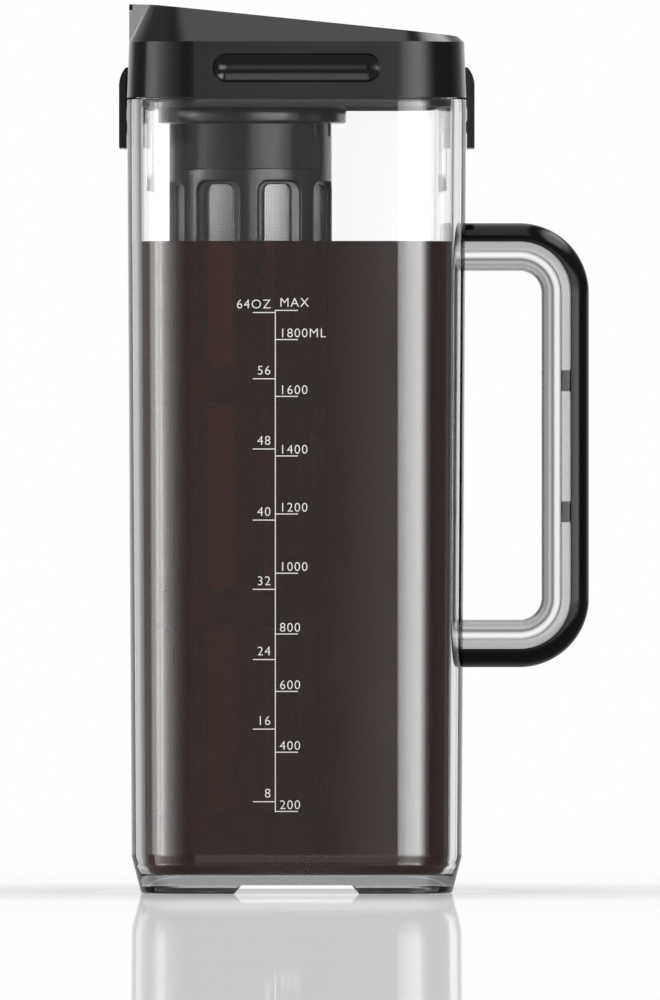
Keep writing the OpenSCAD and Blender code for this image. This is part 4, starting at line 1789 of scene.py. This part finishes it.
    def _marks(self) -> tuple[np.ndarray, np.ndarray]:
        """Two small upright ribs under the flange that show how the filter turns onto the lid.

        Returns:
            Points and faces.
        """
        angle = np.radians(np.array(self.mark_deg) - 90)[:, None, None]
        side = np.array([-0.5, 0.5, 0.5, -0.5])[None, None]
        grow = np.array([1.0, 1.0, 0.5])[None, :, None]
        out = np.array([-0.3, 0.3, 0.45])[None, :, None] + self.outer_r
        high = np.array([-self.mark_h, -self.mark_h, 0.1, 0.1])
        z = np.broadcast_to(self.flange_low + high, (2, 3, 4))
        s = side * grow
        x = self.axis_x + out * np.cos(angle) - s * np.sin(angle)
        y = out * np.sin(angle) + s * np.cos(angle)
        points = np.stack([x, y, z], -1)
        box = np.concatenate([grid_quads(3, 4), [[3, 2, 1, 0], [8, 9, 10, 11]]])
        return points.reshape(-1, 3), np.concatenate([box, box + 12])

    def build(self, finishes: Finishes) -> list[bpy.types.Object]:
        """Makes the filter's pieces.

        Args:
            finishes: Every finish.

        Returns:
            The objects.
        """
        dark, body = finishes.collar, Body.FILTER
        cage = add_piece("filter_cage_ribs", *self._cage(), sharp=35)
        collar = lathe(self._collar_profile(), self.axis_x, 128)
        collar = add_piece("filter_collar_ring", *collar, sharp=35)
        marks = add_piece("collar_marks", *self._marks())
        sleeve = self._sleeve()
        cap = add_piece("filter_end_cap", *lathe(np.array(self.cap_profile), self.axis_x), sharp=35)
        repaint("filter_gasket", finishes.seal)
        return [
            dress(cage, dark, body, "filter_cage"),
            dress(collar, dark, body, "filter_collar"),
            dress(marks, dark, body),
            dress(sleeve, finishes.mesh, body, "filter_mesh"),
            dress(cap, dark, body, "filter_base"),
        ]

    def _sleeve(self) -> bpy.types.Object:
        """The woven sleeve: a thin closed tube whose texture is measured along and up the cloth.

        Returns:
            The object.
        """
        outer = self.inner_r - self.sleeve_gap
        inner, (low, high), steps = outer - self.sleeve_thick, self.sleeve_z, 96
        outside = [[outer, low], [outer, (low + high) / 2], [outer, high]]
        profile = np.array([*outside, [inner, high], [inner, low], [outer, low]])
        angle = np.linspace(0, 2 * np.pi, steps + 1)
        r, z = profile[:, :1], np.broadcast_to(profile[:, 1:], (len(profile), steps + 1))
        points = np.stack([self.axis_x + r * np.cos(angle), r * np.sin(angle), z], -1)
        uv = np.stack([np.broadcast_to(angle * outer * MM, z.shape), z * MM], -1)
        quads = grid_quads(len(profile), steps + 1, wrap=False)
        return add_piece("woven_sleeve", points.reshape(-1, 3), quads, uv=uv.reshape(-1, 2))


# ---------------------------------------------------------------- studio


@dataclass
class Studio:
    """Floor, surrounding light and camera.

    The light's stops are degrees round the object and strength: 0 is towards the camera, and the
    handle's side is positive. Level light is met near the horizon, raised light a little above and
    below it, overhead light by its share of X, and through light behind clear plastic. The bands
    are heights of the light's direction, as a share of its length, between which one gives way
    to the next.
    """

    distance: float = 8000.0
    aim: tuple[float, float, float] = (11.0, 0.0, 129.7)
    frame_h: float = 330.0
    near_plane: float = 33.5
    floor_r: float = 1750.0
    floor_steps: int = 96
    floor_drop: float = 0.02
    floor_rough: float = 0.03
    mirror: float = 0.42
    faint_mirror: float = 0.03
    mirror_facing: tuple[float, float] = (0.93, 0.98)
    glow: float = 0.02
    # painted light: a stronger glow under the object, lifting its shadow there
    near_glow: float = 0.3
    glow_m: tuple[float, float] = (0.05, 0.08)
    # painted shadow: the floor's paint darkens towards the object over these distances in metres
    painted_shadow_m: tuple[float, float] = (0.06, 0.24)
    painted_shadow: tuple[float, float] = (0.72, 0.9)
    open_m: tuple[float, float] = (0.05, 0.07)
    raised_band: tuple[float, float] = (0.028, 0.052)
    fill_band: tuple[float, float] = (0.17, 0.3)
    overhead_band: tuple[float, float] = (0.56, 0.72)
    side_deg: tuple[float, float] = (66.0, 80.0)
    behind_deg: tuple[float, float] = (110.0, 118.0)
    back_deg: tuple[float, float] = (126.0, 142.0)
    fill: tuple[float, float] = (0.22, 0.6)
    even: tuple[float, float] = (0.9, 1.15)
    level_light: Stops = (
        (-180, 1.0), (-137, 1.0), (-133, 0.25), (-100, 0.15), (-94, 0.6), (-88, 0.8),
        (-84.5, 2.0), (-82, 4.6), (-75, 4.7), (-73, 7.6), (-71, 7.6), (-68, 4.6), (-60, 2.5),
        (-52, 1.6), (-37, 0.6), (-27, 0.36), (-20, 0.24), (-14, 0.2), (-4, 0.24), (0.5, 0.26),
        (1.5, 2.7), (8, 3.6), (15, 4.7), (25, 5.5), (36, 6.1), (43, 6.9), (47, 5.0), (51, 1.6),
        (60, 0.15), (108, 0.12), (136, 1.0), (180, 1.0),
    )
    through_light: Stops = (
        (-180, 1.12), (-166, 1.12), (-159, 0.65), (-150, 0.65), (-143, 0.68), (-136, 0.45),
        (-131, 0.26), (-123, 0.17), (-112, 0.25), (-98, 1.0), (98, 1.0), (112, 0.15), (122, 0.06),
        (127, 0.2), (132, 0.8), (139, 0.95), (145, 0.95), (150, 0.8), (154, 0.6), (158, 0.8),
        (166, 1.12), (180, 1.12),
    )
    raised_light: Stops = (
        (-180, 1.0), (-146, 0.85), (-137, 0.25), (-121, 0.08), (-95, 0.05), (-91, 2.6),
        (-80, 2.5), (-62, 1.35), (-46, 0.74), (-32, 0.36), (-20, 0.12), (-5, 0.12), (-1, 0.55),
        (2, 0.9), (7, 1.6), (14, 2.3), (21, 2.8), (30, 3.3), (37, 3.3), (50, 1.7), (57, 0.7),
        (65, 0.1), (100, 0.03), (128, 0.15), (138, 0.4), (146, 1.2), (180, 1.2),
    )
    overhead: Stops = (
        (-1, 0.2), (-0.5, 0.3), (-0.3, 0.15), (-0.1, 1.45), (0.11, 1.4), (0.17, 0.15),
        (0.3, 0.15), (0.42, 5.2), (0.6, 5.2), (0.85, 1.0), (1, 0.5),
    )

    def camera(self) -> None:
        """Sets the camera level, at the height of the picture's middle, facing the front."""
        data = bpy.data.cameras.new("camera")
        data.sensor_fit, data.sensor_width = "AUTO", 36.0
        data.lens = 36.0 * (self.distance - self.near_plane) / self.frame_h
        data.dof.use_dof = False
        data.clip_start, data.clip_end = 0.1, 100.0
        camera = link_object("camera", data)
        camera.location = (self.aim[0] * MM, -self.distance * MM, self.aim[2] * MM)
        camera.rotation_euler = (math.pi / 2, 0.0, 0.0)
        bpy.context.scene.camera = camera

    def _strength(self, g: Graph, share: Any, stops: Stops, reach: float) -> Any:
        """Gives a strength that follows the stops in straight steps.

        Args:
            g: The graph.
            share: Place along the stops, from 0 to 1.
            stops: Rows of place, from minus to plus the reach, and strength.
            reach: The largest place.

        Returns:
            The strength's socket.
        """
        top = max(level for _, level in stops)
        spots = [(0.5 + 0.5 * place / reach, grey(level / top)) for place, level in stops]
        return g.math("MULTIPLY", g.ramp(share, spots), top)

    def world(self) -> None:
        """Surrounds the object with light.

        Its strength follows the direction round the object as soft boxes would set it, and an even
        light reaches matt surfaces. What the camera sees directly, or through clear plastic behind
        the object, is white.
        """
        world = bpy.data.worlds.new("studio")
        bpy.context.scene.world = world
        world.use_nodes = True
        g = Graph(world.node_tree)
        end = g.add("OutputWorld")
        x, y, z = g.add("SeparateXYZ", {0: g.add("TexCoord").outputs["Generated"]}).outputs
        turn = g.math("ARCTAN2", x, g.math("MULTIPLY", y, -1.0))
        side = g.math("ABSOLUTE", turn)
        gloss, beyond = self._gloss(g, x, z, turn, side)
        path = g.add("LightPath").outputs
        behind = g.map(side, *map(math.radians, self.behind_deg), 0.0, 1.0)
        direct = g.math("LESS_THAN", path["Glossy Depth"], 0.5)
        clear = path["Is Transmission Ray"]
        through = g.math("MULTIPLY", clear, g.math("MAXIMUM", behind, direct))
        first = g.math("LESS_THAN", path["Diffuse Depth"], 0.5)
        shiny = g.math("MULTIPLY", g.math("MAXIMUM", path["Is Glossy Ray"], clear), first)
        seen = g.blend(shiny, g.map(z, -0.2, 1.0, *self.even, smooth=False), gloss)
        seen = g.blend(g.math("MULTIPLY", through, first), seen, beyond)
        strength = g.blend(path["Is Camera Ray"], seen, 1.0)
        light = g.add("Background", {"Color": (1.0, 1.0, 1.0, 1.0), "Strength": strength})
        g.fill(end, {"Surface": light.outputs[0]})
        world.cycles.sampling_method = "NONE"

    def _gloss(self, g: Graph, x: Any, z: Any, turn: Any, side: Any) -> tuple[Any, Any]:
        """The light that gloss shows, and what clear plastic shows of the light behind it.

        Args:
            g: The graph.
            x: The direction's share of X.
            z: The direction's share of Z.
            turn: The direction's angle round the object, in radians.
            side: The same without its sign.

        Returns:
            The two strengths.
        """
        share = g.math("MULTIPLY_ADD", turn, 0.5 / math.pi, 0.5)
        level = self._strength(g, share, self.level_light, 180)
        raised = self._strength(g, share, self.raised_light, 180)
        above = self._strength(g, g.math("MULTIPLY_ADD", x, 0.5, 0.5), self.overhead, 1)
        fill = g.map(side, *map(math.radians, self.back_deg), *self.fill)
        steep = g.math("ABSOLUTE", z)
        gloss = g.blend(g.map(steep, *self.raised_band, 0.0, 1.0), level, raised)
        gloss = g.blend(g.map(steep, *self.fill_band, 0.0, 1.0), gloss, fill)
        aside = g.map(side, *map(math.radians, self.side_deg), 0.0, 1.0)
        start, full = self.raised_band
        under = g.math("MULTIPLY", g.map(z, -full, -start, 1.0, 0.0), aside)
        gloss = g.blend(under, gloss, fill)
        gloss = g.blend(g.map(z, *self.overhead_band, 0.0, 1.0), gloss, above)
        return gloss, self._strength(g, share, self.through_light, 180)

    def floor(self) -> None:
        """Lays a pale glossy floor that keeps the object's shadow and a faint reflection. Its paint
        is darker near the object, a painted shadow, and it glows more under the object, painted
        light.

        The reflection shows at a level view only. Away from the object the floor is left out of
        what the object's own gloss shows, so that level light reaches the foot as it does the rest.
        """
        angle = np.linspace(0, 2 * np.pi, self.floor_steps, endpoint=False)
        rim = self.floor_r * MM * np.stack([np.cos(angle), np.sin(angle), 0 * angle], -1)
        mesh = bpy.data.meshes.new("floor")
        mesh.from_pydata(rim.tolist(), [], [tuple(range(len(rim)))])
        piece = link_object("floor", mesh)
        piece.location = (0.0, 0.0, -self.floor_drop * MM)
        material, g, end, place = start_material("pale_floor")
        far = g.add("VectorMath", {0: place}, operation="LENGTH").outputs["Value"]
        path = g.add("LightPath").outputs
        seen = g.math("MAXIMUM", path["Is Camera Ray"], path["Is Transmission Ray"])
        # painted light: the floor glows more under the object than away from it
        bright = g.math("MULTIPLY", seen, g.map(far, *self.glow_m, self.near_glow, self.glow))
        glow = g.add("Emission", {"Strength": bright}).outputs[0]
        grain = g.map(g.add("TexNoise", {"Vector": place, "Scale": 3.0}).outputs[0], 0, 1, 0.985, 1)
        # painted shadow: the paint darkens near the object
        painted_shadow = g.math("MULTIPLY", grain, g.map(far, *self.painted_shadow_m, *self.painted_shadow))
        paint = g.add("CombineColor", {0: painted_shadow, 1: painted_shadow, 2: painted_shadow}).outputs[0]
        matt = g.add("BsdfDiffuse", {"Color": paint}).outputs[0]
        lit = g.add("AddShader", {0: matt, 1: glow}).outputs[0]
        white = {"Color": (1.0, 1.0, 1.0, 1.0), "Roughness": self.floor_rough}
        gloss = g.add("BsdfGlossy", white).outputs[0]
        facing = g.add("LayerWeight", {"Blend": 0.5}).outputs["Facing"]
        share = g.map(facing, *self.mirror_facing, self.faint_mirror, self.mirror)
        both = g.add("MixShader", {0: share, 1: lit, 2: gloss}).outputs[0]
        hidden = g.math("MULTIPLY", path["Is Glossy Ray"], g.map(far, *self.open_m, 0.0, 1.0))
        nothing = g.add("BsdfTransparent").outputs[0]
        g.fill(end, {"Surface": g.add("MixShader", {0: hidden, 1: both, 2: nothing}).outputs[0]})
        material.cycles.emission_sampling = "NONE"
        mesh.materials.append(material)

    def build(self) -> None:
        """Builds the studio."""
        scene = bpy.context.scene
        scene.view_settings.view_transform = "Standard"
        self.camera()
        self.world()
        self.floor()


def corners(box: tuple[Any, Any]) -> list[list[float]]:
    """Turns a pair of corners into plain lists."""
    return [[float(v) for v in corner] for corner in box]


def main() -> None:
    """Builds every sub-assembly in order."""
    logging.basicConfig(level=logging.INFO, format="%(name)s: %(message)s")
    finishes = Finishes()
    Studio().build()
    pitcher = Pitcher()
    pitcher.build(finishes.clear)
    Coffee(pitcher).build(finishes.brew)
    Graduations(pitcher).build(finishes.ink)
    Handle(pitcher).build(finishes.clear_handle, finishes.grip)
    Lid().build(finishes)
    Filter().build(finishes)
    LOG.info("boxes written")


if __name__ == "__main__":
    main()
